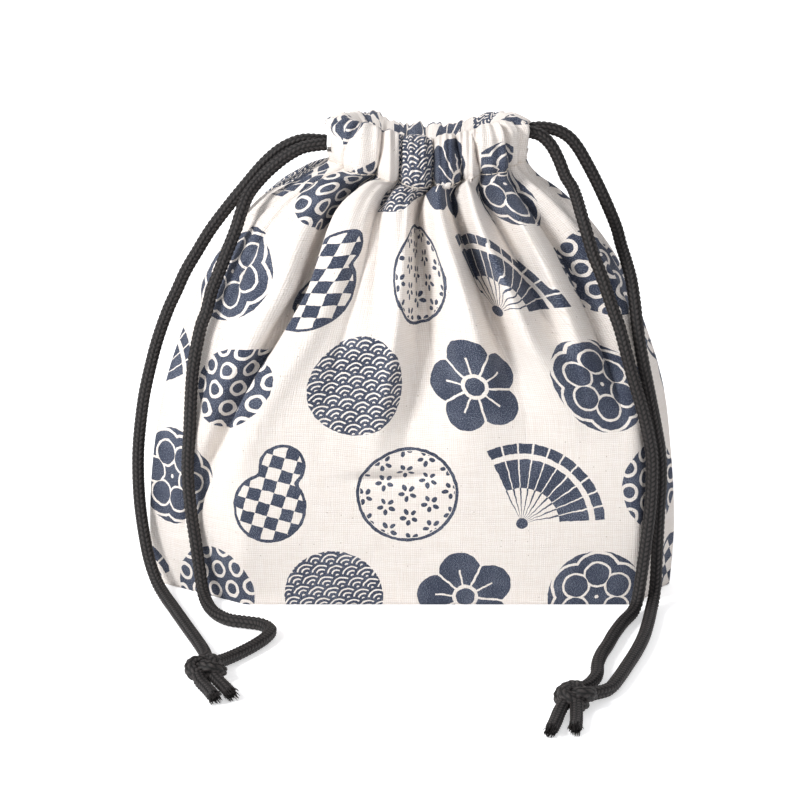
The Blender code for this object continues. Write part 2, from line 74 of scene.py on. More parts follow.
def addPiece(name, mesh, *finishes):
    piece = bpy.data.objects.new(name, mesh)
    scene.collection.objects.link(piece)
    for finish in finishes:
        mesh.materials.append(finish)
    return piece


def catmull(rows, position):
    # value at each position along a list of rows, on a smooth curve through them
    rows = np.asarray(rows, float)
    position = np.atleast_1d(np.asarray(position, float))
    last = len(rows) - 1
    i = np.clip(position.astype(int), 0, last - 1)
    t = (position - i)[:, None]
    a, b = rows[np.maximum(i - 1, 0)], rows[i]
    c, d = rows[i + 1], rows[np.minimum(i + 2, last)]
    return 0.5 * (2 * b + (c - a) * t + (2 * a - 5 * b + 4 * c - d) * t ** 2
                  + (3 * b - a - 3 * c + d) * t ** 3)


def smoothStep(low, high, value):
    t = np.clip((value - low) / (high - low), 0.0, 1.0)
    return t * t * (3 - 2 * t)


# Camera: the photograph is taken from the front, a little above
cameraSet = {"elevation": 16.0, "target": (-0.0042, -0.0296, 0.0785), "distance": 1.1, "lens": 133.8}
lift = math.radians(cameraSet["elevation"])
camera = bpy.data.objects.new("camera", bpy.data.cameras.new("camera"))
camera.data.lens = cameraSet["lens"]
camera.data.clip_end = 20.0
camera.location = (cameraSet["target"][0],
                   cameraSet["target"][1] - cameraSet["distance"] * math.cos(lift),
                   cameraSet["target"][2] + cameraSet["distance"] * math.sin(lift))
camera.rotation_euler = (math.pi / 2 - lift, 0.0, 0.0)
scene.collection.objects.link(camera)
scene.camera = camera

# Light: a soft key lamp from the upper left that shades the folds, a weak fill at the left, a
# stronger one at the right, a lamp behind and above for the back and top, and a pale world
lampAim = (0.0, -0.03, 0.08)
lampSet = [
    ("key_lamp", (-1.05, -0.80, 1.05), 0.38, 25.5),
    ("left_fill", (-1.6, -0.3, 0.6), 1.0, 1.6),
    ("right_fill", (1.0, -1.4, 0.7), 1.0, 5.0),
    ("back_lamp", (0.3, 1.3, 1.3), 1.0, 9.0),
]
for name, place, size, power in lampSet:
    lamp = bpy.data.objects.new(name, bpy.data.lights.new(name, "AREA"))
    lamp.data.size = size
    lamp.data.energy = power
    lamp.location = place
    aim = np.array(lampAim) - np.array(place)
    lamp.rotation_euler = (math.atan2(math.hypot(aim[0], aim[1]), -aim[2]), 0.0,
                           math.atan2(aim[1], aim[0]) - math.pi / 2)
    scene.collection.objects.link(lamp)
worldSet = {"colour": "#fbfbff", "strength": 0.44}
world = bpy.data.worlds.new("studio_world")
world.use_nodes = True
sky = world.node_tree.nodes["Background"]
sky.inputs["Color"].default_value = hexToLinear(worldSet["colour"])
sky.inputs["Strength"].default_value = worldSet["strength"]
scene.world = world
scene.view_settings.view_transform = "Standard"

# Floor: a pale sheet of paper, shown white where nothing shades it
floorSet = {"size": 8.0, "colour": "#f3f3f3", "glow": 0.5}
floorFinish, tree = emptyMaterial("white_paper_floor")
rays = addNode(tree, "ShaderNodeLightPath")
seen = addNode(tree, "ShaderNodeMath", {"operation": "MAXIMUM"},
               {0: rays.outputs["Is Camera Ray"], 1: rays.outputs["Is Glossy Ray"]})
seen = addNode(tree, "ShaderNodeMath", {"operation": "MAXIMUM"},
               {0: seen.outputs[0], 1: rays.outputs["Is Transmission Ray"]})
paper = addNode(tree, "ShaderNodeBsdfDiffuse", None, {"Color": hexToLinear(floorSet["colour"])})
glow = addNode(tree, "ShaderNodeEmission", None, {"Strength": floorSet["glow"]})
bright = addNode(tree, "ShaderNodeAddShader", None, {0: paper.outputs[0], 1: glow.outputs[0]})
shown = addNode(tree, "ShaderNodeMixShader", None,
                {0: seen.outputs[0], 1: paper.outputs[0], 2: bright.outputs[0]})
addNode(tree, "ShaderNodeOutputMaterial", None, {"Surface": shown.outputs[0]})
half = floorSet["size"] / 2
floorMesh = bpy.data.meshes.new("studio_floor")
floorMesh.from_pydata([(-half, -half, 0), (half, -half, 0), (half, half, 0), (-half, half, 0)],
                      [], [(0, 1, 2, 3)])
addPiece("studio_floor", floorMesh, floorFinish)
print("camera, lights and floor placed")

# Black cotton drawcord, braided from eight yarns and pulled matt by handling: near black with a
# little warm brown, chevrons of yarn crowns with painted shade near black in the gaps between them, and a
# fine nap
cordSet = {"diameter": 4.5, "around": 48, "step": 0.4,
           "yarnColumns": 8, "pick": 1.9, "lean": 0.62, "yarnRelief": 0.72,
           "crownWidth": 1.85, "crownLength": 1.95, "meanCrown": 0.72,
           # gap is the painted shade between the yarns, crown the yarn's own colour
           "gap": "#030202", "crown": "#363130", "gapTo": 0.50,
           "fibreStretch": 3.2, "fibreScale": 1.6, "fibreBump": 0.18}


def makeCordMaterial():
    made, tree = emptyMaterial("black_cotton_braid")
    flat = addNode(tree, "ShaderNodeUVMap", {"uv_map": "cordFlat"}).outputs[0]
    stretched = addNode(tree, "ShaderNodeVectorMath", {"operation": "MULTIPLY"},
                        {0: flat, 1: (cordSet["fibreStretch"], cordSet["fibreStretch"], 1.0)}).outputs[0]
    fibre = addNode(tree, "ShaderNodeTexNoise", None,
                    {"Vector": stretched, "Scale": cordSet["fibreScale"], "Detail": 3.0,
                     "Roughness": 0.7})
    crown = addNode(tree, "ShaderNodeAttribute", {"attribute_name": "yarnCrown"})
    # painted shade: the ramp darkens the gaps between the yarn crowns to near black
    crownsAndShadedGaps = addNode(tree, "ShaderNodeValToRGB", None, {"Fac": crown.outputs["Fac"]})
    for stop, tone, place in zip(crownsAndShadedGaps.color_ramp.elements, ("gap", "crown"), (cordSet["gapTo"], 1.0)):
        stop.color = hexToLinear(cordSet[tone])
        stop.position = place
    gapShadeAndFibreMottle = addNode(tree, "ShaderNodeMixRGB", {"blend_type": "OVERLAY"},
                   {"Fac": 0.5, "Color1": crownsAndShadedGaps.outputs[0], "Color2": fibre.outputs["Fac"]})
    nap = addNode(tree, "ShaderNodeBump", None,
                  {"Strength": 0.6, "Distance": cordSet["fibreBump"] * mm,
                   "Height": fibre.outputs["Fac"]})
    shader = addNode(tree, "ShaderNodeBsdfPrincipled", None,
                     {"Base Color": gapShadeAndFibreMottle.outputs[0], "Roughness": 0.58, "Normal": nap.outputs[0],
                      "Sheen Weight": 0.02, "Sheen Roughness": 0.5, "Specular IOR Level": 0.36})
    addNode(tree, "ShaderNodeOutputMaterial", None, {"Surface": shader.outputs[0]})
    return made


cordFinish = makeCordMaterial()


def evenPoints(route, step):
    # points a fixed step apart on a smooth curve through the route's own
    samples = 40
    places = catmull(route, np.arange(samples * (len(route) - 1) + 1) / samples)
    run = np.concatenate(([0.0], np.cumsum(np.linalg.norm(np.diff(places, axis=0), axis=1))))
    wanted = np.linspace(0, run[-1], max(2, round(run[-1] / step) + 1))
    return np.column_stack([np.interp(wanted, run, places[:, axis]) for axis in range(3)])


def sweepFrames(points, closed=False):
    # tangent, side and top at each point, carried along without twist
    if closed:
        ahead, behind = np.roll(points, -1, axis=0), np.roll(points, 1, axis=0)
        tangents = ahead - behind
    else:
        tangents = np.gradient(points, axis=0)
    tangents /= np.linalg.norm(tangents, axis=1)[:, None]
    side = np.cross(tangents[0], (0.0, 0.0, 1.0))
    if np.linalg.norm(side) < 0.1:
        side = np.cross(tangents[0], (0.0, 1.0, 0.0))
    sides = []
    for tangent in tangents:
        side = side - tangent * side.dot(tangent)
        side /= np.linalg.norm(side)
        sides.append(side)
    sides = np.array(sides)
    return tangents, sides, np.cross(tangents, sides)


def yarnHeight(angle, run):
    # eight columns of yarn crowns: neighbours lean opposite ways and stand half a pick apart
    turn = angle / (2 * math.pi) * cordSet["yarnColumns"]
    column = np.floor(turn + 1e-6)
    across = turn - column - 0.5
    handed = np.where(column % 2 < 1, 1.0, -1.0)
    along = run / cordSet["pick"] + cordSet["lean"] * handed * across + 0.25 * (1 - handed)
    along = along - np.floor(along) - 0.5
    width = np.sqrt(np.clip(1 - (cordSet["crownWidth"] * across) ** 2, 0.0, 1.0))
    length = np.sqrt(np.clip(1 - (cordSet["crownLength"] * along) ** 2, 0.0, 1.0))
    return width * length


def braidedTube(points, diameter, closed=False):
    # mesh rows, faces, crown values and flat coordinates of one stretch of braided cord
    points = np.asarray(points, float)
    around = cordSet["around"]
    tangents, sides, tops = sweepFrames(points, closed)
    steps = np.linalg.norm(np.diff(points, axis=0), axis=1)
    run = np.concatenate(([0.0], np.cumsum(steps)))
    angle = np.linspace(0, 2 * math.pi, around, endpoint=False)
    angles, runs = np.meshgrid(angle, run)
    crown = yarnHeight(angles, runs)
    relief = cordSet["yarnRelief"] * diameter / cordSet["diameter"]
    radius = diameter / 2 + relief * (crown - cordSet["meanCrown"])
    ring = (np.cos(angles)[..., None] * sides[:, None, :]
            + np.sin(angles)[..., None] * tops[:, None, :])
    places = points[:, None, :] + radius[..., None] * ring
    rings = len(points)
    faces, flat = [], []
    for i in range(rings if closed else rings - 1):
        low, high = i * around, (i + 1) % rings * around
        for k in range(around):
            nextK = (k + 1) % around
            faces.append((low + k, low + nextK, high + nextK, high + k))
            u, v = k * diameter * math.pi / around, run[i]
            du, dv = diameter * math.pi / around, cordSet["step"]
            flat.append(((u, v), (u + du, v), (u + du, v + dv), (u, v + dv)))
    if not closed:
        faces.append(tuple(reversed(range(around))))
        faces.append(tuple(range((rings - 1) * around, rings * around)))
        flat += [((0.0, 0.0),) * around] * 2
    return places.reshape(-1, 3), faces, crown.reshape(-1), flat


def cordMesh(name, stretches):
    mesh = bpy.data.meshes.new(name)
    places, faces, crowns, flats = [], [], [], []
    for placed, faced, crowned, flat in stretches:
        start = sum(len(p) for p in places)
        faces += [tuple(i + start for i in face) for face in faced]
        places.append(placed)
        crowns.append(crowned)
        flats += flat
    mesh.from_pydata((np.concatenate(places) * mm).tolist(), [], faces)
    crownData = mesh.attributes.new("yarnCrown", "FLOAT", "POINT")
    crownData.data.foreach_set("value", np.concatenate(crowns))
    layer = mesh.uv_layers.new(name="cordFlat")
    corners = np.array([corner for flat in flats for corner in flat], float)
    layer.data.foreach_set("uv", corners.ravel())
    mesh.shade_smooth()
    return mesh


# Strand routes, from the slit in the side seam to the knot, as the solids have them
strandRoutes = {
    "left_front_strand": [
        (-31.5, -3.0, 169.5), (-39.5, -4.0, 168.5), (-45.0, -5.0, 166.0), (-50.0, -6.0, 162.5),
        (-55.5, -7.5, 157.5), (-60.0, -12.0, 152.5), (-62.5, -16.5, 147.0), (-64.5, -19.5, 141.0),
        (-67.5, -21.5, 133.5), (-70.5, -22.5, 126.0), (-73.5, -23.5, 118.5), (-75.5, -24.5, 111.0),
        (-78.0, -24.5, 104.0), (-81.0, -25.5, 88.0), (-82.5, -26.5, 66.0), (-83.5, -27.0, 50.0),
        (-82.5, -27.5, 35.0), (-81.0, -28.5, 23.5), (-79.5, -30.5, 12.5), (-78.0, -35.0, 5.0),
        (-75.5, -43.0, 2.6), (-72.0, -52.0, 2.6), (-67.0, -58.0, 2.6), (-61.0, -60.5, 2.6),
        (-55.0, -63.0, 2.6), (-51.5, -68.5, 2.6), (-52.5, -76.0, 2.6), (-56.5, -84.5, 2.6),
        (-61.5, -92.5, 2.6), (-66.0, -99.5, 3.0), (-69.0, -105.5, 4.0), (-71.5, -110.5, 3.8),
    ],
    "left_back_strand": [
        (-31.5, 3.0, 169.5), (-39.5, 2.5, 170.0), (-45.0, 2.0, 168.5), (-50.0, 2.0, 165.5),
        (-55.5, 1.5, 160.5), (-61.5, 1.0, 153.5), (-68.5, 0.5, 145.0), (-75.0, -0.5, 136.5),
        (-80.0, -1.0, 128.5), (-84.5, -1.5, 121.0), (-88.0, -2.0, 113.5), (-91.5, -3.0, 106.0),
        (-95.5, -5.0, 95.0), (-98.5, -7.0, 84.0), (-101.0, -8.5, 72.5), (-103.0, -9.5, 57.0),
        (-103.5, -10.5, 45.5), (-103.0, -12.5, 33.5), (-101.5, -15.0, 22.0), (-99.5, -18.0, 12.5),
        (-96.5, -23.0, 5.5), (-93.0, -31.0, 2.7), (-88.5, -45.0, 2.6), (-82.5, -64.0, 2.6),
        (-78.0, -78.0, 2.6), (-74.5, -89.5, 2.6), (-73.0, -97.5, 3.0), (-74.0, -104.5, 4.0),
        (-73.0, -110.0, 3.8),
    ],
    "right_front_strand": [
        (43.5, -3.0, 174.0), (47.8, -3.0, 172.7), (51.6, -3.5, 169.2), (54.5, -4.5, 164.0),
        (57.0, -6.5, 158.0), (59.5, -10.5, 154.5), (61.0, -15.5, 151.0), (62.5, -20.5, 146.0),
        (64.5, -24.5, 139.5), (66.5, -27.0, 133.0), (69.0, -29.0, 127.0), (71.5, -31.0, 120.0),
        (74.0, -33.0, 113.0), (76.5, -35.0, 106.0), (80.5, -37.0, 91.5), (85.0, -37.5, 76.5),
        (88.5, -36.5, 61.0), (89.0, -37.0, 49.5), (88.5, -38.0, 38.0), (87.0, -39.5, 24.5),
        (85.5, -41.5, 13.0), (84.0, -45.0, 5.5), (82.0, -50.0, 2.7), (77.5, -61.0, 2.6),
        (73.5, -73.0, 2.6), (70.5, -84.0, 2.6), (67.5, -94.0, 2.6), (65.5, -104.0, 2.6),
        (64.5, -114.5, 2.6), (61.0, -123.5, 2.6), (56.5, -130.5, 3.6), (55.6, -136.0, 3.8),
    ],
    "right_back_strand": [
        (43.5, 3.0, 174.0), (48.5, 3.0, 174.5), (54.0, 3.0, 173.5), (58.5, 3.0, 171.0),
        (62.0, 2.5, 167.0), (65.0, 2.0, 162.0), (68.0, 1.5, 156.5), (71.0, 0.5, 150.5),
        (74.0, -1.5, 144.0), (76.5, -5.0, 138.0), (78.0, -9.5, 132.5), (79.5, -15.0, 128.0),
        (81.0, -21.0, 122.5), (82.0, -26.5, 115.5), (83.0, -30.5, 106.5), (84.5, -32.5, 97.0),
        (87.5, -32.5, 83.0), (90.5, -31.0, 69.0), (92.5, -30.0, 58.0), (93.0, -30.5, 47.0),
        (92.5, -31.5, 35.0), (92.0, -33.0, 21.0), (91.5, -36.0, 10.0), (90.5, -40.5, 4.5),
        (89.0, -47.5, 2.6), (87.0, -60.0, 2.6), (84.0, -76.0, 2.6), (80.0, -91.5, 2.6),
        (76.0, -104.5, 2.6), (72.0, -117.0, 2.6), (68.0, -127.0, 2.6), (62.0, -134.0, 3.6),
        (57.0, -137.5, 3.8),
    ],
}

# Casing: the long ring that the cords follow inside the hem, seen from above
laneSet = {"centreX": 6.0, "halfWidth": 29.5, "halfDepth": 10.5, "stitchHeight": 160.0,
           "saddle": 3.6, "leadSaddle": 0.85, "leaveAngle": 64.0, "strandAngle": 20.0,
           "lead": [(10.0, 6.8), (14.0, 4.9)], "cordRoom": 0.5, "cordLift": 1.3,
           "clothThickness": 1.2, "height": 17.3, "seamAbove": 2.4}
straightRun = 2 * (laneSet["halfWidth"] - laneSet["halfDepth"])
laneAround = 2 * straightRun + 2 * math.pi * laneSet["halfDepth"]


def lanePoint(share):
    # point and outward direction on the ring, from its left end round the front
    share = np.asarray(share, float) % 1.0
    depth, quarter = laneSet["halfDepth"], math.pi * laneSet["halfDepth"] / 2
    back = share > 0.5
    run = np.where(back, 1 - share, share) * laneAround
    leftAngle = run / depth
    rightAngle = (laneAround / 2 - run) / depth
    onLeft, onRight = run < quarter, run > quarter + straightRun
    outX = np.where(onLeft, -np.cos(leftAngle), np.where(onRight, np.cos(rightAngle), 0.0))
    outY = np.where(onLeft, -np.sin(leftAngle), np.where(onRight, -np.sin(rightAngle), -1.0))
    centre = np.clip(run - quarter, 0.0, straightRun) - straightRun / 2
    flip = np.where(back, -1.0, 1.0)
    outward = np.stack([outX, outY * flip], axis=-1)
    point = np.stack([laneSet["centreX"] + centre + depth * outX, depth * outY * flip], axis=-1)
    return point, outward


def endAngle(share):
    # angle on the ring's round ends away from the side seam
    around = np.asarray(share, float) % 0.5
    return np.minimum(around, 0.5 - around) * laneAround / laneSet["halfDepth"]


def mouthSaddle(share):
    return np.cos(4 * math.pi * np.asarray(share, float))


def casingRun(side, height):
    # centre line of the cord round the inside of the casing, slit to slit
    leave = math.radians(laneSet["leaveAngle"]) * laneSet["halfDepth"] / laneAround
    centre = laneSet["centreX"] + side * straightRun / 2
    level = laneSet["stitchHeight"] + laneSet["saddle"] * laneSet["leadSaddle"] + height
    route = [(side * out + centre, -off, level) for out, off in reversed(laneSet["lead"])]
    for share in np.linspace(leave, 1 - leave, 18):
        along = share if side < 0 else 0.5 - share
        (x, y), _ = lanePoint(along)
        rise = laneSet["saddle"] * mouthSaddle(along)
        route.append((x, y, laneSet["stitchHeight"] + rise + height))
    return route + [(side * out + centre, off, level) for out, off in laneSet["lead"]]


def measured(points):
    return float(np.linalg.norm(np.diff(points, axis=0), axis=1).sum())


# Knots: both ends of a cord tied together in one overhand knot, lying flat
knotSet = {
    "left": {"centre": (-72.3, -112.0), "turn": -20.0,
             "tails": [[(-75, -114), (-73.5, -121), (-70, -128.5), (-67, -137)],
                       [(-71, -113), (-67.5, -120), (-64, -127), (-61.5, -134)]]},
    "right": {"centre": (55.5, -138.0), "turn": 15.0,
              "tails": [[(53, -140), (50, -148), (48, -156.5), (45.5, -167)],
                        [(56, -141), (55.5, -149), (55, -157), (54, -165)]]},
    "middle": 3.5, "swing": 1.8, "height": 1.6, "clear": 0.25, "turnDiameter": 5.0,
    "tailDiameter": 4.4, "tailHump": 0.6, "frayLength": 4.2, "frayFibres": 80, "frayReach": 1.95,
    "fraySpread": (0.9, 1.55), "frayShares": (0.45, 0.95), "frayRoot": 0.8, "frayBow": 0.12,
    "fibreRadius": 0.17, "lowestTip": 0.45,
}
knotHeight = knotSet["height"] + knotSet["turnDiameter"] / 2 + knotSet["clear"]


def knotMesh(name, plan):
    # overhand turns as a closed braid, two tails and loose fibres at their ends
    turns = []
    for t in np.linspace(0, 2 * math.pi, 160, endpoint=False):
        radius = knotSet["middle"] + knotSet["swing"] * math.cos(3 * t)
        angle = 2 * t + math.radians(plan["turn"])
        turns.append((plan["centre"][0] + radius * math.cos(angle),
                      plan["centre"][1] + radius * math.sin(angle),
                      knotHeight - knotSet["height"] * math.sin(3 * t)))
    stretches = [braidedTube(turns, knotSet["turnDiameter"], closed=True)]
    low = knotSet["tailDiameter"] / 2 + knotSet["clear"]
    for tail in plan["tails"]:
        heights = (knotHeight, low + knotSet["tailHump"], low, low)
        route = [(x, y, z) for (x, y), z in zip(tail, heights)]
        points = evenPoints(route, cordSet["step"])
        points = points[:-int(knotSet["frayLength"] / cordSet["step"])]
        stretches.append(braidedTube(points, knotSet["tailDiameter"]))
        stretches += frayedEnd(points)
    return cordMesh(name, stretches)


def frayedEnd(points):
    # thin fibres that spread a little out of the cut end of the braid
    end, way = points[-1], points[-1] - points[-4]
    way /= np.linalg.norm(way)
    side = np.cross(way, (0.0, 0.0, 1.0))
    side /= np.linalg.norm(side)
    top = np.cross(side, way)
    fibres = []
    for _ in range(knotSet["frayFibres"]):
        angle = random.uniform(0, 2 * math.pi)
        reach = knotSet["frayReach"] * math.sqrt(random.random())
        spread = random.uniform(*knotSet["fraySpread"])
        length = knotSet["frayLength"] * random.uniform(*knotSet["frayShares"])
        across = (math.cos(angle) * side + math.sin(angle) * top) * reach
        root = end - way * knotSet["frayRoot"] + across
        tip = end + way * length + across * spread
        tip[2] = max(tip[2], knotSet["lowestTip"])
        middle = (root + tip) / 2 + across * knotSet["frayBow"]
        spine = catmull([root, middle, tip], np.linspace(0, 2, 7))
        fibres.append(thinFibre(spine, knotSet["fibreRadius"]))
    return fibres


def thinFibre(spine, radius):
    # a five sided thread that thins to half its width, with the crown value of a lit yarn
    count = 5
    _, sides, tops = sweepFrames(spine)
    places = []
    for i, point in enumerate(spine):
        thin = radius * (1 - 0.5 * i / (len(spine) - 1))
        for k in range(count):
            angle = 2 * math.pi * k / count
            places.append(point + thin * (math.cos(angle) * sides[i] + math.sin(angle) * tops[i]))
    faces = []
    for i in range(len(spine) - 1):
        low, high = i * count, (i + 1) * count
        faces += [(low + k, low + (k + 1) % count, high + (k + 1) % count, high + k)
                  for k in range(count)]
    faces += [tuple(reversed(range(count))), tuple(range(len(places) - count, len(places)))]
    flat = [((0.0, 0.0), (0.3, 0.0), (0.3, 0.3), (0.0, 0.3))] * (len(faces) - 2)
    flat += [((0.0, 0.0),) * count] * 2
    return np.array(places), faces, np.full(len(places), 0.75), flat


# The left cord runs low in the tunnel and the right cord above it
laneHeights = {"left": laneSet["seamAbove"] + laneSet["cordLift"] + cordSet["diameter"] / 2}
laneHeights["right"] = laneHeights["left"] + cordSet["diameter"] + laneSet["cordRoom"]
for side, sign in (("left", -1), ("right", 1)):
    drawcord = f"{side}_drawcord"
    knot = addPiece(f"{side}_tied_knot", knotMesh(f"{side}_tied_knot", knotSet[side]), cordFinish)
    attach(knot, "root")
    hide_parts(f"{side}_knot")
    run = evenPoints(casingRun(sign, laneHeights[side]), cordSet["step"])
    name = f"{side}_cord_in_casing"
    inside = addPiece(name, cordMesh(name, [braidedTube(run, cordSet["diameter"])]), cordFinish)
    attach(inside, "root")
    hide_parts(drawcord)
    for place in ("front", "back"):
        name = f"{side}_{place}_strand"
        points = evenPoints(strandRoutes[name], cordSet["step"])
        strand = addPiece(name, cordMesh(name, [braidedTube(points, cordSet["diameter"])]), cordFinish)
        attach(strand, "root")
        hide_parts(drawcord)
        print(name, "length in mm", round(measured(points), 1))
print("cords and knots made")

# Canvas body: hoops of cloth from the base to the shoulder. Each hoop gives height, left, right,
# front, back, saddle, roundness, depth of the long folds and depth of the gathers
bodySet = {
    "columns": 480, "rowStep": 1.45, "firstRows": [0.0, 0.5, 1.4], "footIn": 0.5,
    "halfWidth": 99.5, "halfDepth": 35.0, "cornerSoftness": 0.004, "shoulderSoftness": 0.02,
    "hang": 0.46, "hangFrom": 68.0, "hangTo": 150.0, "gatherLevel": 0.60,
    "corners": [(0 / 54, (-99.5, -8.0)), (6 / 54, (-62.5, -35.0)), (23 / 54, (84.3, -35.0)),
                (27 / 54, (99.5, -10.0)), (32 / 54, (82.0, 35.0)), (49 / 54, (-68.0, 35.0))],
    "hoops": [
        (0.0, -99.5, 99.5, -35.0, 35.0, 0.0, 0.00, 0.0, 0.0),
        (24.0, -100.7, 100.7, -37.5, 37.5, 0.0, 0.04, 0.0, 0.0),
        (52.0, -98.6, 99.2, -39.0, 39.0, 0.0, 0.14, 2.6, 0.0),
        (80.0, -94.0, 96.0, -38.0, 38.0, 0.0, 0.30, 6.2, 1.2),
        (104.0, -87.0, 88.5, -35.5, 35.5, 0.0, 0.48, 9.0, 3.2),
        (124.0, -79.0, 80.0, -31.0, 31.0, 0.3, 0.66, 10.0, 5.6),
        (139.0, -69.5, 69.5, -26.5, 26.5, 0.8, 0.82, 8.6, 7.4),
        (149.5, -58.5, 58.5, -22.0, 22.0, 1.6, 0.92, 6.0, 7.6),
        (155.5, -47.0, 50.0, -17.5, 17.5, 2.6, 1.00, 3.6, 7.8),
    ],
}
bodyAround = sum(math.dist(bodySet["corners"][i][1], bodySet["corners"][(i + 1) % 6][1])
                 for i in range(6))

# Long folds: share of the way round at the mouth, half way down and at the low end, width of cloth
# on the left and right of the valley, depth beside the others, how far the right lip rolls over
# it to the left, and the height at which the fold dies out
longFolds = [
    (0.180, 0.192, 0.200, 9.0, 11.0, 0.45, 0.0, 100.0),
    (0.264, 0.250, 0.236, 10.0, 24.0, 1.00, 2.5, 42.0),
    (0.338, 0.334, 0.330, 7.0, 14.0, 1.10, 2.0, 70.0),
    (0.386, 0.384, 0.380, 7.0, 12.0, 1.05, 1.6, 78.0),
    (0.441, 0.430, 0.412, 18.0, 11.0, 1.10, -2.5, 54.0),
    (0.560, 0.572, 0.585, 18.0, 16.0, 0.90, 1.5, 50.0),
    (0.630, 0.636, 0.640, 10.0, 12.0, 0.60, 0.0, 96.0),
    (0.700, 0.700, 0.700, 17.0, 22.0, 0.85, -1.0, 62.0),
    (0.810, 0.802, 0.795, 20.0, 14.0, 1.00, 2.0, 46.0),
    (0.870, 0.862, 0.855, 9.0, 12.0, 0.55, 0.0, 100.0),
    (0.930, 0.918, 0.905, 16.0, 16.0, 1.00, -2.0, 52.0),
]
foldSet = {"top": 160.0, "grow": 42.0, "sharpness": 1.6, "lipWidth": 6.0,
           "swell": 0.4, "swellAt": 1.15, "swellWidth": 0.5,
           "slideLow": (24.0, 80.0), "slideHigh": (140.0, 158.0), "rollHigh": (146.0, 158.0)}

# The widest fold, at the left of the front: a flat trough under a sharp rolled lip. Heights and
# shares of its lip, then the trough's width, its walls' widths, its depths at those heights, how
# far the lip hangs over it, and the banks beside it: place from the edge and width
rolledFold = {"heights": [22.0, 40.0, 66.0, 99.0, 121.0, 155.0, 160.0],
              "shares": [0.062, 0.073, 0.099, 0.123, 0.134, 0.126, 0.116],
              "width": 9.5, "wall": 2.4, "depths": [0.0, 3.0, 5.5, 8.0, 9.5, 6.0, 5.0], "roll": 4.6,
              "lipAt": 0.6, "lipWidth": 3.2, "bank": 0.30, "rightBank": (7.0, 6.0),
              "leftBank": (6.5, 4.5)}

# The short level crease where the middle valley ends, at a share round and a height, and how it
# fades in and out along its length
creaseSet = {"share": 0.236, "height": 51.0, "slope": 0.03, "width": 2.0, "depth": 3.2,
             "fadeIn": (-27.0, -6.0), "fadeOut": (4.0, 22.0)}

# The seam at each side: a groove at the stitches and a ridge of turned cloth beside it
seamSet = {"groove": 0.7, "grooveWidth": 0.9, "ridge": 0.5, "ridgeAt": 3.0, "ridgeWidth": 1.8}

# Gathers: the valleys between the rounded lobes of the casing, as shares of the way round
gatherValleys = [0.000, 0.056, 0.116, 0.174, 0.264, 0.338, 0.386, 0.441, 0.500,
                 0.560, 0.598, 0.630, 0.665, 0.700, 0.755, 0.810, 0.838, 0.870, 0.930, 1.000]
lobeSet = {"usual": 0.055, "narrowest": 0.6, "widest": 1.15, "fadeAngles": (22, 52),
           "lean": 0.019, "sway": 0.004}

# Slack in the cloth: long shallow waves in the wall, and small puckers that the stitches draw up
slackSet = {"wave": 0.16, "waveFrom": (8.0, 60.0), "pucker": 0.45, "puckerFrom": (118.0, 156.0)}
waves = [(random.randint(3, 11), random.uniform(-0.05, 0.05), random.uniform(0, 2 * math.pi),
          random.uniform(0.4, 1.0)) for _ in range(9)]
puckers = [(random.randint(28, 64), random.uniform(-0.10, 0.10), random.uniform(0, 2 * math.pi))
           for _ in range(5)]

# Casing: steps between the rows of its section, how gathers ruffle its layers and lift the rim,
# steps of the shoulder that joins it to the wall, and the place of the slits, tunnel and hem
casingSet = {"outerSteps": (4, 8, 5), "innerSteps": (3, 5, 3), "seamRise": 0.9, "topDrop": 3.6,
             "ruffle": 0.48, "rimRuffle": 0.50, "insideRuffle": 0.6,
             "crownRise": 1.5, "rimDrop": 0.9, "rimWave": 0.30,
             "shoulderSteps": 10, "wallReach": 9, "slitShare": 0.0278,
             "tunnelFoot": 0.6, "tunnelTop": 1.6, "hemTurn": 15.0, "liningStep": 3}


def basePlan(share):
    corners = bodySet["corners"] + [(1.0, bodySet["corners"][0][1])]
    at = [corner[0] for corner in corners]
    share = np.asarray(share, float) % 1.0
    return np.stack([np.interp(share, at, [c[1][axis] for c in corners]) for axis in (0, 1)], axis=-1)


def lobe(share):
    # 1 on the crown of a gather and 0 in its valley, round on top and tight below
    share = np.asarray(share, float) % 1.0
    i = np.clip(np.searchsorted(gatherValleys, share, side="right") - 1, 0, len(gatherValleys) - 2)
    low, high = np.take(gatherValleys, i), np.take(gatherValleys, i + 1)
    t = (share - low) / (high - low)
    wide = np.clip((high - low) / lobeSet["usual"], lobeSet["narrowest"], lobeSet["widest"])
    crown = (4 * t * (1 - t)) ** 0.5 * wide
    start, end = [math.radians(angle) for angle in lobeSet["fadeAngles"]]
    return crown * smoothStep(start, end, endAngle(share))


def fanned(share, near):
    # the lobes lean in towards the middle of the mouth as they rise
    lean = (lobeSet["lean"] * np.sin(4 * math.pi * (share - 0.25))
            + lobeSet["sway"] * np.sin(10 * math.pi * share + 3 * near))
    return share + lean * near * smoothStep(0.0, 0.05, np.minimum(share % 0.5, 0.5 - share % 0.5))


def slitFlare(share):
    # how far the casing opens into lips that let two strands out side by side
    leave = math.radians(laneSet["leaveAngle"])
    angle = endAngle(share)
    wall = laneSet["halfDepth"] + cordSet["diameter"] / 2 + laneSet["cordRoom"]
    held = np.maximum(angle, math.radians(laneSet["strandAngle"]))
    return np.where(angle < leave, wall * (1 / np.cos(np.minimum(leave - held, 1.4)) - 1), 0.0)


def hump(value, middle, width):
    # a smooth rise to 1 at the middle, for reliefs
    return np.exp(-((value - middle) / width) ** 2)


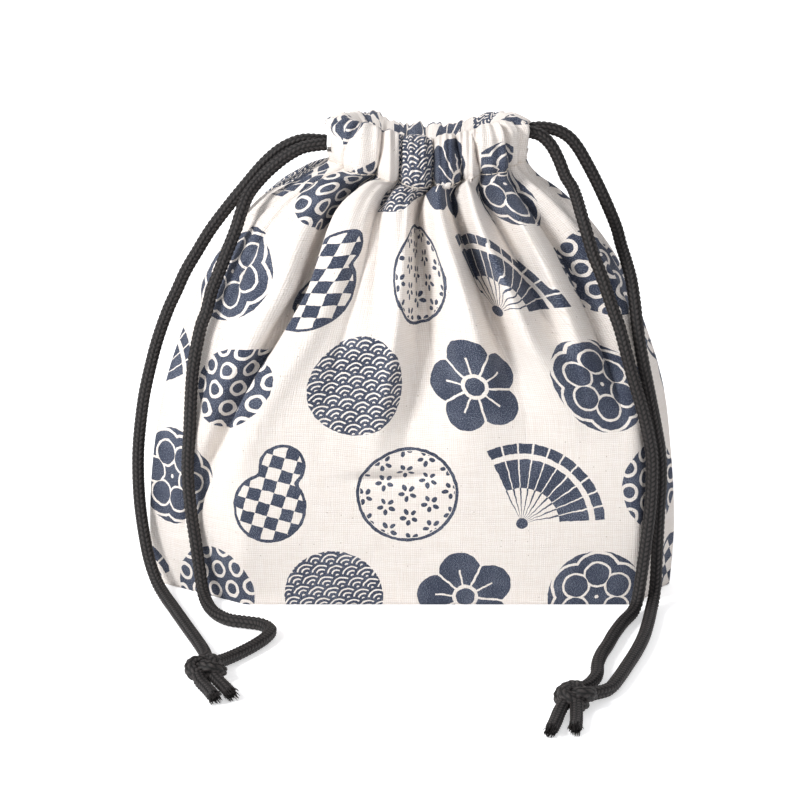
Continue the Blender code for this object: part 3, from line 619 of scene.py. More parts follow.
def foldRelief(share, height):
    # relief of the long folds and how far cloth slides sideways over their valleys, at full depth
    relief, slide = np.zeros_like(share), np.zeros_like(share)
    for atMouth, atMiddle, atLow, leftWidth, rightWidth, depth, roll, diesAt in longFolds:
        along = np.clip((foldSet["top"] - height) / (foldSet["top"] - diesAt), 0.0, 1.0)
        centre = catmull([[atMouth], [atMiddle], [atLow]], 2 * along.ravel()).reshape(share.shape)
        off = ((share - centre + 0.5) % 1.0 - 0.5) * bodyAround
        reach = np.where(off < 0, -off / leftWidth, off / rightWidth)
        valley = -np.maximum(0.0, 1 - reach) ** foldSet["sharpness"]
        swell = foldSet["swell"] * hump(reach, foldSet["swellAt"], foldSet["swellWidth"])
        lives = smoothStep(diesAt, diesAt + foldSet["grow"], height)
        relief += depth * (valley + swell) * lives
        if roll:
            lip = rightWidth if roll > 0 else -leftWidth
            slide -= roll * hump(off, lip, foldSet["lipWidth"]) * lives
    return relief, slide


def rolledRelief(share, height):
    # the trough and its two rounded banks, and the slide of the lip over the trough, in mm
    fold = rolledFold
    lip = np.interp(height, fold["heights"], fold["shares"])
    depth = np.interp(height, fold["heights"], fold["depths"])
    off = ((share - lip + 0.5) % 1.0 - 0.5) * bodyAround
    width, wall = fold["width"], fold["wall"]
    trough = smoothStep(-width - wall, -width + 0.5, off) * (1 - smoothStep(-wall, 0.4, off))
    (rightAt, rightWide), (leftAt, leftWide) = fold["rightBank"], fold["leftBank"]
    banks = fold["bank"] * (hump(off, rightAt, rightWide) + hump(off, -width - leftAt, leftWide))
    overhang = fold["roll"] * depth / max(fold["depths"])
    return depth * (banks - trough), -overhang * hump(off, fold["lipAt"], fold["lipWidth"])


def pleatPuckers(share, height):
    total = sum(np.sin(2 * math.pi * count * share + lean * height + phase)
                for count, lean, phase in puckers)
    return total / math.sqrt(len(puckers))


def creaseDent(share, height):
    across = (share - creaseSet["share"]) * bodyAround
    level = creaseSet["height"] + across * creaseSet["slope"]
    fade = smoothStep(*creaseSet["fadeIn"], across) * (1 - smoothStep(*creaseSet["fadeOut"], across))
    return creaseSet["depth"] * hump(height, level, creaseSet["width"]) * fade


def seamRelief(share):
    away = np.minimum(share % 0.5, 0.5 - share % 0.5) * bodyAround
    return (seamSet["ridge"] * hump(away, seamSet["ridgeAt"], seamSet["ridgeWidth"])
            - seamSet["groove"] * hump(away, 0.0, seamSet["grooveWidth"]))


def smoothWall(share, hoop):
    # wall without folds, for arrays of shares and hoop positions
    height, left, right, front, back, rise, roundness, _, _ = catmull(bodySet["hoops"], hoop).T
    softness = bodySet["cornerSoftness"] + bodySet["shoulderSoftness"] * roundness
    rise = rise * mouthSaddle(share)
    # near the mouth the columns of cloth hang straight down and spread only at the two ends
    hang = bodySet["hang"] * smoothStep(bodySet["hangFrom"], bodySet["hangTo"], height)
    share = share + hang * np.sin(4 * math.pi * share) / (4 * math.pi)
    plan = sum(basePlan(share + softness * step) for step in np.linspace(-1, 1, 9)) / 9
    flatX = plan[..., 0] / bodySet["halfWidth"] / 2 + 0.5
    flatY = plan[..., 1] / bodySet["halfDepth"] / 2 + 0.5
    lane, _ = lanePoint(share)
    roundX = (lane[..., 0] - laneSet["centreX"]) / laneSet["halfWidth"] / 2 + 0.5
    roundY = lane[..., 1] / laneSet["halfDepth"] / 2 + 0.5
    x = left + (right - left) * (flatX + (roundX - flatX) * roundness)
    y = front + (back - front) * (flatY + (roundY - flatY) * roundness)
    return np.stack([x, y, height + rise], axis=-1)


def wallDirections(shareGrid, hoopGrid, wall):
    # directions level along the smooth wall and out of it
    step = 0.003
    share, hoop = shareGrid.ravel(), hoopGrid.ravel()
    along = (smoothWall(share + step, hoop) - smoothWall(share - step, hoop)).reshape(wall.shape)
    outward = np.cross(along, np.gradient(wall, axis=0))
    outward /= np.linalg.norm(outward, axis=-1)[..., None]
    along /= np.linalg.norm(along, axis=-1)[..., None]
    return along, outward


def wallRelief(shareGrid, heightGrid, hoops):
    # how far the cloth stands out of the smooth wall, and how far it slides along it
    values = catmull(bodySet["hoops"], hoops)
    foldDepth, gatherDepth = values[:, 7][:, None], values[:, 8][:, None]
    folds, slide = foldRelief(shareGrid, heightGrid)
    sunk, lipSlide = rolledRelief(shareGrid, heightGrid)
    relief = foldDepth * folds + gatherDepth * (lobe(shareGrid) - bodySet["gatherLevel"]) + sunk
    calm = smoothStep(*slackSet["waveFrom"], heightGrid)
    for count, lean, phase, size in waves:
        turn = 2 * math.pi * count * shareGrid + lean * heightGrid + phase
        relief = relief + slackSet["wave"] * size * calm * np.sin(turn)
    drawnUp = smoothStep(*slackSet["puckerFrom"], heightGrid)
    relief = relief + slackSet["pucker"] * drawnUp * pleatPuckers(shareGrid, heightGrid)
    relief = relief - creaseDent(shareGrid, heightGrid) + seamRelief(shareGrid)
    slide = (slide * smoothStep(*foldSet["slideLow"], heightGrid)
             * (1 - smoothStep(*foldSet["slideHigh"], heightGrid)))
    return relief, slide + lipSlide * (1 - smoothStep(*foldSet["rollHigh"], heightGrid))


def wallRows(shares):
    # rows of the outer face from the base to the shoulder
    top = bodySet["hoops"][-1][0]
    *first, start = bodySet["firstRows"]
    heights = np.concatenate((first, np.arange(start, top, bodySet["rowStep"]), [top]))
    dense = np.linspace(0, len(bodySet["hoops"]) - 1, 400)
    hoops = np.interp(heights, catmull(bodySet["hoops"], dense)[:, 0], dense)
    shareGrid, hoopGrid = np.meshgrid(shares, hoops)
    heightGrid = np.repeat(heights[:, None], len(shares), axis=1)
    wall = smoothWall(shareGrid.ravel(), hoopGrid.ravel()).reshape(*shareGrid.shape, 3)
    along, outward = wallDirections(shareGrid, hoopGrid, wall)
    relief, slide = wallRelief(shareGrid, heightGrid, hoops)
    wall = wall + outward * relief[..., None] + along * slide[..., None]
    wall[0] -= outward[0] * bodySet["footIn"]
    wall[0, :, 2] = 0.0
    return wall


def casingAt(share, out, up, pleat, flare):
    lane, outward = lanePoint(share)
    near = min(max(up / laneSet["height"], 0.0), 1.0)
    reach = out + pleat * lobe(fanned(share, near)) + flare * slitFlare(share)
    at = lane + outward * reach[..., None]
    level = laneSet["stitchHeight"] + laneSet["saddle"] * mouthSaddle(share) + up
    return np.stack([at[..., 0], at[..., 1], level], axis=-1)


def casingRing(shares, row):
    # one ring of the casing, ruffled most at the rim
    out, up, pleat, flare = row
    near = float(np.clip(up / laneSet["height"], 0, 1))
    ruffle = pleatPuckers(shares, 0.0)
    placed = casingAt(shares, out, up, pleat, flare)
    _, outward = lanePoint(shares)
    shift = ruffle * (casingSet["ruffle"] + casingSet["rimRuffle"] * near ** 3)
    if out <= 0:
        shift = shift * casingSet["insideRuffle"]
    placed[:, :2] += outward * shift[:, None]
    crown = lobe(fanned(shares, near)) ** 2
    placed[:, 2] += near ** 2 * (casingSet["crownRise"] * crown - casingSet["rimDrop"]
                                 + casingSet["rimWave"] * ruffle)
    return placed


def casingRows():
    # the casing's section, outer layer from the stitches to the rim, then the turned hem down to
    # them: each key gives out from the lane, up from the stitches, gather and flare
    cloth = laneSet["clothThickness"]
    skin = cordSet["diameter"] / 2 + laneSet["cordRoom"] + cloth
    low, high = laneSet["seamAbove"] + casingSet["seamRise"], laneSet["height"] - casingSet["topDrop"]
    middle = (low + high) / 2
    outer = [(cloth, 0.0, 7.5, 1.1), (skin * 0.85, low, 6.3, 0.85), (skin * 0.85, middle, 6.2, 1.0),
             (skin * 0.8, high, 5.4, 1.0), (0.6, laneSet["height"], 3.6, 0.35)]
    inner = [(-1.0, laneSet["height"], 3.0, 0.35), (-skin * 0.93, high, -1.3, 0.0),
             (-skin, middle, -1.3, 0.0), (-skin, low, -0.5, 0.0), (-cloth, 0.0, 3.0, 0.0)]
    return [catmull(keys, np.concatenate((np.linspace(0, 1, foot, endpoint=False),
                                          np.linspace(1, 3, sides, endpoint=False),
                                          np.linspace(3, 4, top + 1))))
            for keys, (foot, sides, top) in ((outer, casingSet["outerSteps"]),
                                             (inner, casingSet["innerSteps"]))]


def shoulderRows(wall, casing):
    # between the wall's last hoop and the stitch line, drawn in on a smooth curve
    seamRow = casingSet["outerSteps"][0]
    keys = np.stack([wall[-casingSet["wallReach"]], wall[-1], casing[0], casing[seamRow]])
    rows = []
    for t in np.linspace(0, 1, casingSet["shoulderSteps"] + 1)[1:-1]:
        row = catmull(keys.reshape(4, -1), 1 + t)[0].reshape(-1, 3)
        row[:, 2] = np.minimum(row[:, 2], casing[0][:, 2])
        rows.append(row)
    return rows


def liningRows(outside, firstCasing):
    # inner face of the wall from the stitches down to the floor, and the outer rows it follows
    surface = np.array(outside[:firstCasing + 1])
    around = np.roll(surface, -1, axis=1) - np.roll(surface, 1, axis=1)
    normals = np.cross(around, np.gradient(surface, axis=0))
    normals /= np.linalg.norm(normals, axis=-1)[..., None]
    inner = surface - normals * laneSet["clothThickness"]
    picks = set(range(0, firstCasing, casingSet["liningStep"])) | {firstCasing - 1}
    picks = sorted(picks, reverse=True)
    lining = [inner[i] for i in picks]
    lining[-1] = inner[0] * (1, 1, 0) + np.array((0, 0, laneSet["clothThickness"]))
    return lining, picks


def smoothedRound(rows, reach, width):
    # each closed row averaged with its neighbours on both sides
    window = np.exp(-(np.arange(-reach, reach + 1) / width) ** 2)
    window /= window.sum()
    return np.array([np.convolve(row, window, mode="valid") for row in rows])


def riseOnCloth(grid, liningStart, picks):
    # how far up the flat cloth each vertex lies
    steps = np.linalg.norm(np.diff(grid, axis=0), axis=-1)
    rise = np.concatenate((np.zeros((1, grid.shape[1])), np.cumsum(steps, 0)))
    reach = 30
    flatV = smoothedRound(np.concatenate((rise[:, -reach:], rise, rise[:, :reach]), axis=1), reach, 12.0)
    for k, i in enumerate(picks):
        flatV[liningStart + k] = flatV[i]
    return flatV


def roundOnCloth(grid, liningStart, firstCasing):
    # place round the flat cloth at the left and right of each column. In the gathers the crown of
    # a lobe keeps its true width and the rest is tucked into the valleys, as real gathers hide it
    rows, columns = grid.shape[:2]
    step = np.linalg.norm(np.roll(grid, -1, axis=1) - grid, axis=-1)
    arc = np.concatenate((np.zeros((rows, 1)), np.cumsum(step, axis=1)), axis=1)
    plain = np.arange(columns + 1) / columns * bodyAround
    # the print follows each fold's own surface, and what a fold takes comes evenly from beside it
    local = arc - plain * arc[:, -1:] / bodyAround
    local = local - local.mean(axis=1)[:, None]
    reach = 45
    looped = np.concatenate((local[:, -reach - 1:-1], local, local[:, 1:reach + 1]), axis=1)
    plain = plain[None, :] + local - smoothedRound(looped, reach, 22.0)
    full, tuckFrom = 0.92, (124.0, 156.0)
    tuck = np.zeros(rows)
    tuck[:liningStart] = full * smoothStep(*tuckFrom, grid[:liningStart, :, 2].mean(axis=1))
    tuck[firstCasing:liningStart] = full
    edges = [round(v * columns) for v in gatherValleys]
    flatU = np.zeros((rows, columns, 2))
    for first, last in zip(edges, edges[1:]):
        even = plain[:, first:last + 1]
        middle = (even[:, :1] + even[:, -1:]) / 2
        span = arc[:, first:last + 1]
        true = middle + span - (span[:, :1] + span[:, -1:]) / 2
        mixed = even + (true - even) * tuck[:, None]
        flatU[:, first:last, 0] = mixed[:, :-1]
        flatU[:, first:last, 1] = mixed[:, 1:]
    return flatU


# Faces of the pouch are gathered here with their flat corners and finish: 0 printed, 1 plain
unitSquare = ((0.0, 0.0), (1.0, 0.0), (1.0, 1.0), (0.0, 1.0))
pouchFaces = {"faces": [], "flats": [], "finishes": []}


def addFaces(faces, flats, finish):
    pouchFaces["faces"] += faces
    pouchFaces["flats"] += flats
    pouchFaces["finishes"] += [finish] * len(faces)


def addBand(low, high, columns, finish, skip=(), corners=None):
    # quads between two rings of vertices, apart from those at a slit
    kept = [k for k in range(columns) if k not in skip]
    faces = [(low + k, low + (k + 1) % columns, high + (k + 1) % columns, high + k) for k in kept]
    addFaces(faces, [corners[k] if corners else unitSquare for k in kept], finish)


def flatCorners(flatU, flatV, row, turned):
    # corners of one band of printed faces on the flat cloth
    low, high = flatV[row] + turned, flatV[row + 1] + turned
    columns = len(low)
    return [((flatU[row, k, 0], low[k]), (flatU[row, k, 1], low[(k + 1) % columns]),
             (flatU[row + 1, k, 1], high[(k + 1) % columns]), (flatU[row + 1, k, 0], high[k]))
            for k in range(columns)]


def tunnelRings(shares, outerRows, innerRows):
    # tunnel that the cords run in, a cloth's thickness inside both layers
    thick = laneSet["clothThickness"]
    foot, sides, _ = casingSet["outerSteps"]
    innerFoot, innerSides, _ = casingSet["innerSteps"]
    rings = [casingAt(shares, 0.0, laneSet["seamAbove"] - casingSet["tunnelFoot"], 2.6, 0.15)]
    rings += [casingRing(shares, (row[0] - thick, *row[1:])) for row in outerRows[foot:foot + sides + 1]]
    rings += [casingAt(shares, 0.0, laneSet["height"] - casingSet["tunnelTop"], 2.0, 0.35)]
    rings += [casingRing(shares, (row[0] + thick, *row[1:]))
              for row in innerRows[innerFoot:innerFoot + innerSides + 1]]
    return rings


def addSlitLips(columns, slit, slitLow, start):
    # edges of the two side slits, from the outer face into the tunnel
    sides = casingSet["outerSteps"][1]
    low, high = slitLow * columns, (slitLow + sides) * columns
    lowIn, highIn = start + columns, start + (1 + sides) * columns
    for seam in (0, columns // 2):
        first, last = (seam - slit) % columns, (seam + slit) % columns
        faces = []
        for k in range(seam - slit, seam + slit):
            a, b = k % columns, (k + 1) % columns
            faces += [(low + a, low + b, lowIn + b, lowIn + a),
                      (high + b, high + a, highIn + a, highIn + b)]
        for k in range(sides):
            skinA, skinB = low + k * columns, low + (k + 1) * columns
            tubeA, tubeB = lowIn + k * columns, lowIn + (k + 1) * columns
            faces += [(skinB + first, skinA + first, tubeA + first, tubeB + first),
                      (skinA + last, skinB + last, tubeB + last, tubeA + last)]
        addFaces(faces, [unitSquare] * len(faces), 1)


def pouchMesh():
    columns = bodySet["columns"]
    shares = np.arange(columns) / columns
    wall = wallRows(shares)
    outerRows, innerRows = casingRows()
    casing = [casingRing(shares, row) for row in outerRows]
    shoulder = shoulderRows(wall, casing)
    outside = list(wall) + shoulder + casing
    hem = [casingRing(shares, row) for row in innerRows]
    firstCasing = len(wall) + len(shoulder)
    lining, picks = liningRows(outside, firstCasing)
    rings = outside + hem + lining
    hemStart, liningStart = len(outside), len(outside) + len(hem)
    grid = np.array(rings)
    flatV = riseOnCloth(grid, liningStart, picks)
    flatU = roundOnCloth(grid, liningStart, firstCasing)

    slit = round(casingSet["slitShare"] * columns)
    cells = {(seam + k) % columns for seam in (0, columns // 2) for k in range(-slit, slit)}
    slitLow = firstCasing + casingSet["outerSteps"][0]
    slitRows = casingSet["outerSteps"][1]
    for i in range(len(rings) - 1):
        turned = casingSet["hemTurn"] if i >= hemStart else 0.0
        addBand(i * columns, (i + 1) * columns, columns, 0 if i < liningStart else 1,
                cells if slitLow <= i < slitLow + slitRows else (),
                flatCorners(flatU, flatV, i, turned))

    start = len(rings) * columns
    tunnel = tunnelRings(shares, outerRows, innerRows)
    for i in range(len(tunnel)):
        addBand(start + i * columns, start + (i + 1) % len(tunnel) * columns, columns, 1,
                cells if 1 <= i <= slitRows else ())
    addSlitLips(columns, slit, slitLow, start)

    # base and inside floor; the print on the base lies away from the wall's
    places = np.concatenate(rings + tunnel)
    floorStart = (len(rings) - 1) * columns
    for finish, face in ((0, tuple(reversed(range(columns)))),
                         (1, tuple(range(floorStart, floorStart + columns)))):
        addFaces([face], [tuple((places[i][0] + 200, places[i][1]) for i in face)], finish)

    mesh = bpy.data.meshes.new("pouch_canvas")
    mesh.from_pydata((places * mm).tolist(), [], pouchFaces["faces"])
    layer = mesh.uv_layers.new(name="canvasFlat")
    corners = np.array([corner for flat in pouchFaces["flats"] for corner in flat], float)
    layer.data.foreach_set("uv", corners.ravel())
    mesh.polygons.foreach_set("material_index", pouchFaces["finishes"])
    work = bmesh.new()
    work.from_mesh(mesh)
    bmesh.ops.recalc_face_normals(work, faces=work.faces)
    work.to_mesh(mesh)
    work.free()
    mesh.shade_smooth()
    return mesh, casing[0]


# Cotton canvas, plain woven from unbleached yarn and screen printed in one navy ink: a matt warm
# white with slubs and seed specks, and ink that skips in grains and in patches.
# Yarn spacing in mm; real canvas is nearer 0.5, drawn a little coarser to show
# The gap colour is painted shade for the low places between the yarns
canvasSet = {"yarn": 0.78, "canvas": "#f5efea", "shadeYarn": "#e6dacf", "gap": "#b9ab9a",
             "ink": "#303749", "inkWorn": "#7d8494", "seed": "#8c7762", "bump": 0.34,
             "slubLong": 0.09, "slubThin": 1.5, "speckSize": 0.045, "speckRare": 0.84}

# The print: pitch of the motifs round and up the cloth, each row's stagger, where it starts, how
# far a motif tilts and its scale, all in mm on the flat cloth, then the sizes of each motif
printSet = {"acrossPitch": 50.0, "upPitch": 42.0, "stagger": 22.0, "line": 0.55, "kinds": 7,
            "startAcross": 13.0, "startUp": 4.0, "tilt": 1.1, "motifScale": 1.08, "disc": 17.4}
waveSet = {"radius": 4.7, "row": 2.35, "ringPitch": 1.57, "ringInk": 0.36}
fanSet = {"rivetDrop": 13.0, "halfAngle": 0.98, "top": 29.0, "leafLow": 13.0, "pleats": 5.1,
          "pleatGap": 0.12, "stick": 0.24, "bandAt": 24.4, "bandHalf": 1.0, "rivet": 2.0}
gourdSet = {"lowDrop": 5.6, "low": 12.4, "topRise": 10.0, "top": 7.4, "neck": 3.0, "check": 4.4}
blossomSet = {"petalAt": 9.8, "petal": 7.3, "seam": 0.5, "eyeRing": 4.6, "eye": 3.3,
              "stamenTip": 10.6, "stamenHalf": 0.33}
latticeSet = {"row": 7.6, "half": 4.4, "ring": 2.75, "ringHalf": 0.62, "squash": 1.12, "edge": 18.2,
              "bud": 2.15, "budNarrow": 2.2, "budSize": 1.25, "shellIn": 16.4, "shell": 17.2}
ballSet = {"ringAt": 8.6, "ring": 8.4, "ringHalf": 0.5, "inner": 4.6, "innerHalf": 0.42}


# The print is drawn as sums: each row is a name, an operation and its terms, and a term that is a
# word is an earlier row. These four give the rows that motifs have in common
def distanceSums(name, x, y):
    return [(name + "X", "MULTIPLY", x, x), (name + "Y", "MULTIPLY_ADD", y, y, name + "X"),
            (name, "SQRT", name + "Y")]


def bandSums(name, value, middle, half, operation):
    return [(name + "Off", "SUBTRACT", value, middle), (name + "Away", "ABSOLUTE", name + "Off"),
            (name, operation, name + "Away", half)]


def sectorSums(name, radius, angle, count):
    # folds the plane into equal sectors: x along a sector's middle, y across it
    half = math.pi / count
    return [(name + "Turn", "WRAP", angle, half, -half),
            (name + "Cos", "COSINE", name + "Turn"), (name + "Sin", "SINE", name + "Turn"),
            (name + "X", "MULTIPLY", radius, name + "Cos"), (name + "Y", "MULTIPLY", radius, name + "Sin")]


def bothSums(name, *parts):
    # ink where all the parts have ink
    rows, last = [], parts[0]
    for i, part in enumerate(parts[1:], 1):
        label = name if i == len(parts) - 1 else f"{name}Part{i}"
        rows.append((label, "MULTIPLY", last, part))
        last = label
    return rows


def layoutSums():
    # from the flat cloth's u and v to each motif's own x, y, r and angle, and its kind
    return [
        ("v1", "SUBTRACT", "v", printSet["startUp"]),
        ("rowRaw", "MULTIPLY_ADD", "v1", 1 / printSet["upPitch"], 0.5), ("row", "FLOOR", "rowRaw"),
        ("y0", "MULTIPLY_ADD", "row", -printSet["upPitch"], "v1"),
        ("u1", "MULTIPLY_ADD", "row", printSet["stagger"], "u"),
        ("u2", "ADD", "u1", printSet["startAcross"]),
        ("columnRaw", "MULTIPLY_ADD", "u2", 1 / printSet["acrossPitch"], 0.5),
        ("column", "FLOOR", "columnRaw"),
        ("x0", "MULTIPLY_ADD", "column", -printSet["acrossPitch"], "u2"),
        # each motif stands at its own tilt
        ("seedA", "MULTIPLY", "column", 12.9898), ("seedB", "MULTIPLY_ADD", "row", 78.233, "seedA"),
        ("seedC", "SINE", "seedB"), ("tilt", "MULTIPLY", "seedC", printSet["tilt"] / 2),
        ("cosine", "COSINE", "tilt"), ("sine", "SINE", "tilt"),
        ("xa", "MULTIPLY", "x0", "cosine"), ("xb", "MULTIPLY_ADD", "y0", "sine", "xa"),
        ("ya", "MULTIPLY", "y0", "cosine"), ("yb", "MULTIPLY", "x0", "sine"),
        ("yc", "SUBTRACT", "ya", "yb"),
        ("x", "DIVIDE", "xb", printSet["motifScale"]), ("y", "DIVIDE", "yc", printSet["motifScale"]),
        # neighbours are of different kinds: three on for each column, two on for each row
        ("kindA", "MULTIPLY_ADD", "column", 3.0, 1.0), ("kindB", "MULTIPLY_ADD", "row", 2.0, "kindA"),
        ("kind", "FLOORED_MODULO", "kindB", float(printSet["kinds"])),
        *distanceSums("r", "x", "y"), ("angle", "ARCTAN2", "y", "x"),
        ("disc", "LESS_THAN", "r", printSet["disc"]),
    ]


def waveSums():
    # a navy roundel of waves: scales of rings, the lower ones in front
    radius = waveSet["radius"]
    sums = [("waveRowA", "SUBTRACT", "y", radius), ("waveRowB", "DIVIDE", "waveRowA", waveSet["row"]),
            ("waveRow0", "CEIL", "waveRowB")]
    for k in range(3):
        sums += [
            (f"waveRow{k + 1}", "ADD", f"waveRow{k}", 1.0),
            (f"waveOdd{k}", "FLOORED_MODULO", f"waveRow{k}", 2.0),
            (f"waveX{k}", "MULTIPLY_ADD", f"waveOdd{k}", radius, "x"),
            (f"waveDx{k}", "WRAP", f"waveX{k}", radius, -radius),
            (f"waveDy{k}", "MULTIPLY_ADD", f"waveRow{k}", -waveSet["row"], "y"),
            *distanceSums(f"waveR{k}", f"waveDx{k}", f"waveDy{k}"),
            (f"waveIn{k}", "LESS_THAN", f"waveR{k}", radius),
        ]
    return sums + [
        ("wave12", "SUBTRACT", "waveR1", "waveR2"),
        ("waveMid", "MULTIPLY_ADD", "waveIn1", "wave12", "waveR2"),
        ("wave02", "SUBTRACT", "waveR0", "waveMid"),
        ("wave", "MULTIPLY_ADD", "waveIn0", "wave02", "waveMid"),
        ("waveTurn", "DIVIDE", "wave", waveSet["ringPitch"]), ("waveLine", "FRACT", "waveTurn"),
        ("waveInk", "GREATER_THAN", "waveLine", waveSet["ringInk"]),
        ("ink0", "MULTIPLY", "disc", "waveInk"),
    ]


def fanSums():
    # a folding fan: pleated leaf with a pale band, and sticks down to the rivet
    return [
        ("fanY", "ADD", "y", fanSet["rivetDrop"]), *distanceSums("fanR", "x", "fanY"),
        ("fanAngle", "ARCTAN2", "x", "fanY"), ("fanWide", "ABSOLUTE", "fanAngle"),
        ("fanSector", "LESS_THAN", "fanWide", fanSet["halfAngle"]),
        ("fanTop", "LESS_THAN", "fanR", fanSet["top"]),
        ("fanTurn", "MULTIPLY", "fanAngle", fanSet["pleats"]), ("fanPleat", "FRACT", "fanTurn"),
        ("fanLow", "GREATER_THAN", "fanR", fanSet["leafLow"]),
        ("fanGap", "GREATER_THAN", "fanPleat", fanSet["pleatGap"]),
        *bandSums("fanBand", "fanR", fanSet["bandAt"], fanSet["bandHalf"], "GREATER_THAN"),
        *bothSums("fanLeaf", "fanLow", "fanGap", "fanBand"),
        ("fanStick", "LESS_THAN", "fanPleat", fanSet["stick"]),
        ("fanShort", "LESS_THAN", "fanR", fanSet["leafLow"]),
        ("fanSticks", "MULTIPLY", "fanStick", "fanShort"), ("fanBoth", "MAXIMUM", "fanLeaf", "fanSticks"),
        *bothSums("fanCut", "fanBoth", "fanSector", "fanTop"),
        ("fanRivet", "LESS_THAN", "fanR", fanSet["rivet"]), ("ink1", "MAXIMUM", "fanCut", "fanRivet"),
    ]


def gourdSums():
    # a gourd in outline with a small check inside
    return [
        ("gourdLowY", "ADD", "y", gourdSet["lowDrop"]), *distanceSums("gourdLowR", "x", "gourdLowY"),
        ("gourdLow", "SUBTRACT", "gourdLowR", gourdSet["low"]),
        ("gourdTopY", "SUBTRACT", "y", gourdSet["topRise"]),
        *distanceSums("gourdTopR", "x", "gourdTopY"),
        ("gourdTop", "SUBTRACT", "gourdTopR", gourdSet["top"]),
        ("gourd", "SMOOTH_MIN", "gourdLow", "gourdTop", gourdSet["neck"]),
        *bandSums("gourdEdge", "gourd", 0.0, printSet["line"], "LESS_THAN"),
        ("gourdIn", "LESS_THAN", "gourd", 0.0),
        ("checkX", "DIVIDE", "x", gourdSet["check"]), ("checkXf", "FLOOR", "checkX"),
        ("checkY", "DIVIDE", "y", gourdSet["check"]), ("checkYf", "FLOOR", "checkY"),
        ("checkSum", "ADD", "checkXf", "checkYf"), ("check", "FLOORED_MODULO", "checkSum", 2.0),
        ("gourdCheck", "MULTIPLY", "check", "gourdIn"), ("ink2", "MAXIMUM", "gourdEdge", "gourdCheck"),
    ]


def blossomSums():
    # a plum blossom: five full petals, a pale eye and stamens
    return [
        *sectorSums("petal", "r", "angle", 5),
        ("petalOff", "SUBTRACT", "petalX", blossomSet["petalAt"]),
        *distanceSums("petalR", "petalOff", "petalY"),
        ("petal", "LESS_THAN", "petalR", blossomSet["petal"]), ("petalWide", "ABSOLUTE", "petalY"),
        ("petalSeamA", "MULTIPLY", "petalX", math.tan(math.pi / 5)),
        ("petalSeamB", "SUBTRACT", "petalSeamA", "petalWide"),
        ("petalSeam", "GREATER_THAN", "petalSeamB", blossomSet["seam"]),
        ("eye", "GREATER_THAN", "r", blossomSet["eyeRing"]),
        ("stamenLong", "GREATER_THAN", "r", blossomSet["stamenTip"]),
        ("stamenThin", "GREATER_THAN", "petalWide", blossomSet["stamenHalf"]),
        ("stamen", "MAXIMUM", "stamenLong", "stamenThin"),
        *bothSums("bloom", "petal", "petalSeam", "eye", "stamen"),
        ("bloomEye", "LESS_THAN", "r", blossomSet["eye"]), ("ink3", "MAXIMUM", "bloom", "bloomEye"),
    ]


def latticeSums():
    # a navy roundel of pale rings, and an outlined roundel of small blossoms on the same lattice
    row, half = latticeSet["row"], latticeSet["half"]
    return [
        ("ringRowA", "MULTIPLY_ADD", "y", 1 / row, 0.5), ("ringRow", "FLOOR", "ringRowA"),
        ("ringY", "MULTIPLY_ADD", "ringRow", -row, "y"), ("ringOdd", "FLOORED_MODULO", "ringRow", 2.0),
        ("ringShift", "MULTIPLY_ADD", "ringOdd", half, "x"), ("ringX", "WRAP", "ringShift", half, -half),
        *distanceSums("ringR", "ringX", "ringY"),
        *bandSums("ringInk", "ringR", latticeSet["ring"], latticeSet["ringHalf"], "GREATER_THAN"),
        ("squashY", "MULTIPLY", "y", latticeSet["squash"]), *distanceSums("squashR", "x", "squashY"),
        ("squash", "LESS_THAN", "squashR", latticeSet["edge"]), ("ink4", "MULTIPLY", "squash", "ringInk"),
        ("budAngle", "ARCTAN2", "ringY", "ringX"), *sectorSums("bud", "ringR", "budAngle", 5),
        ("budOff", "SUBTRACT", "budX", latticeSet["bud"]), ("budYy", "MULTIPLY", "budY", "budY"),
        ("budYw", "MULTIPLY", "budYy", latticeSet["budNarrow"]),
        ("budRr", "MULTIPLY_ADD", "budOff", "budOff", "budYw"),
        ("bud", "LESS_THAN", "budRr", latticeSet["budSize"]),
        ("shellIn", "LESS_THAN", "r", latticeSet["shellIn"]), ("budInk", "MULTIPLY", "bud", "shellIn"),
        *bandSums("shell", "r", latticeSet["shell"], printSet["line"], "LESS_THAN"),
        ("ink5", "MAXIMUM", "budInk", "shell"),
    ]


def threadBallSums():
    # a thread ball: a rosette of six rings in pale thread on navy
    return [
        *sectorSums("ball", "r", "angle", 6), ("ballOff", "SUBTRACT", "ballX", ballSet["ringAt"]),
        *distanceSums("ballR", "ballOff", "ballY"),
        *bandSums("ballArc", "ballR", ballSet["ring"], ballSet["ringHalf"], "GREATER_THAN"),
        *bandSums("ballMid", "ballR", ballSet["inner"], ballSet["innerHalf"], "GREATER_THAN"),
        *bothSums("ink6", "disc", "ballArc", "ballMid"),
    ]


def printSums():
    # ink of the motif that stands in each cell, as the row named "printed"
    sums = (layoutSums() + waveSums() + fanSums() + gourdSums() + blossomSums() + latticeSums()
            + threadBallSums())
    last = 0.0
    for k in range(printSet["kinds"]):
        label = "printed" if k == printSet["kinds"] - 1 else f"printed{k}"
        sums += [(f"is{k}", "COMPARE", "kind", float(k), 0.4),
                 (label, "MULTIPLY_ADD", f"is{k}", f"ink{k}", last)]
        last = label
    return sums


def addSums(tree, values, sums):
    for label, operation, *terms in sums:
        terms = {i: values[term] if isinstance(term, str) else term for i, term in enumerate(terms)}
        values[label] = addNode(tree, "ShaderNodeMath", {"operation": operation}, terms).outputs[0]


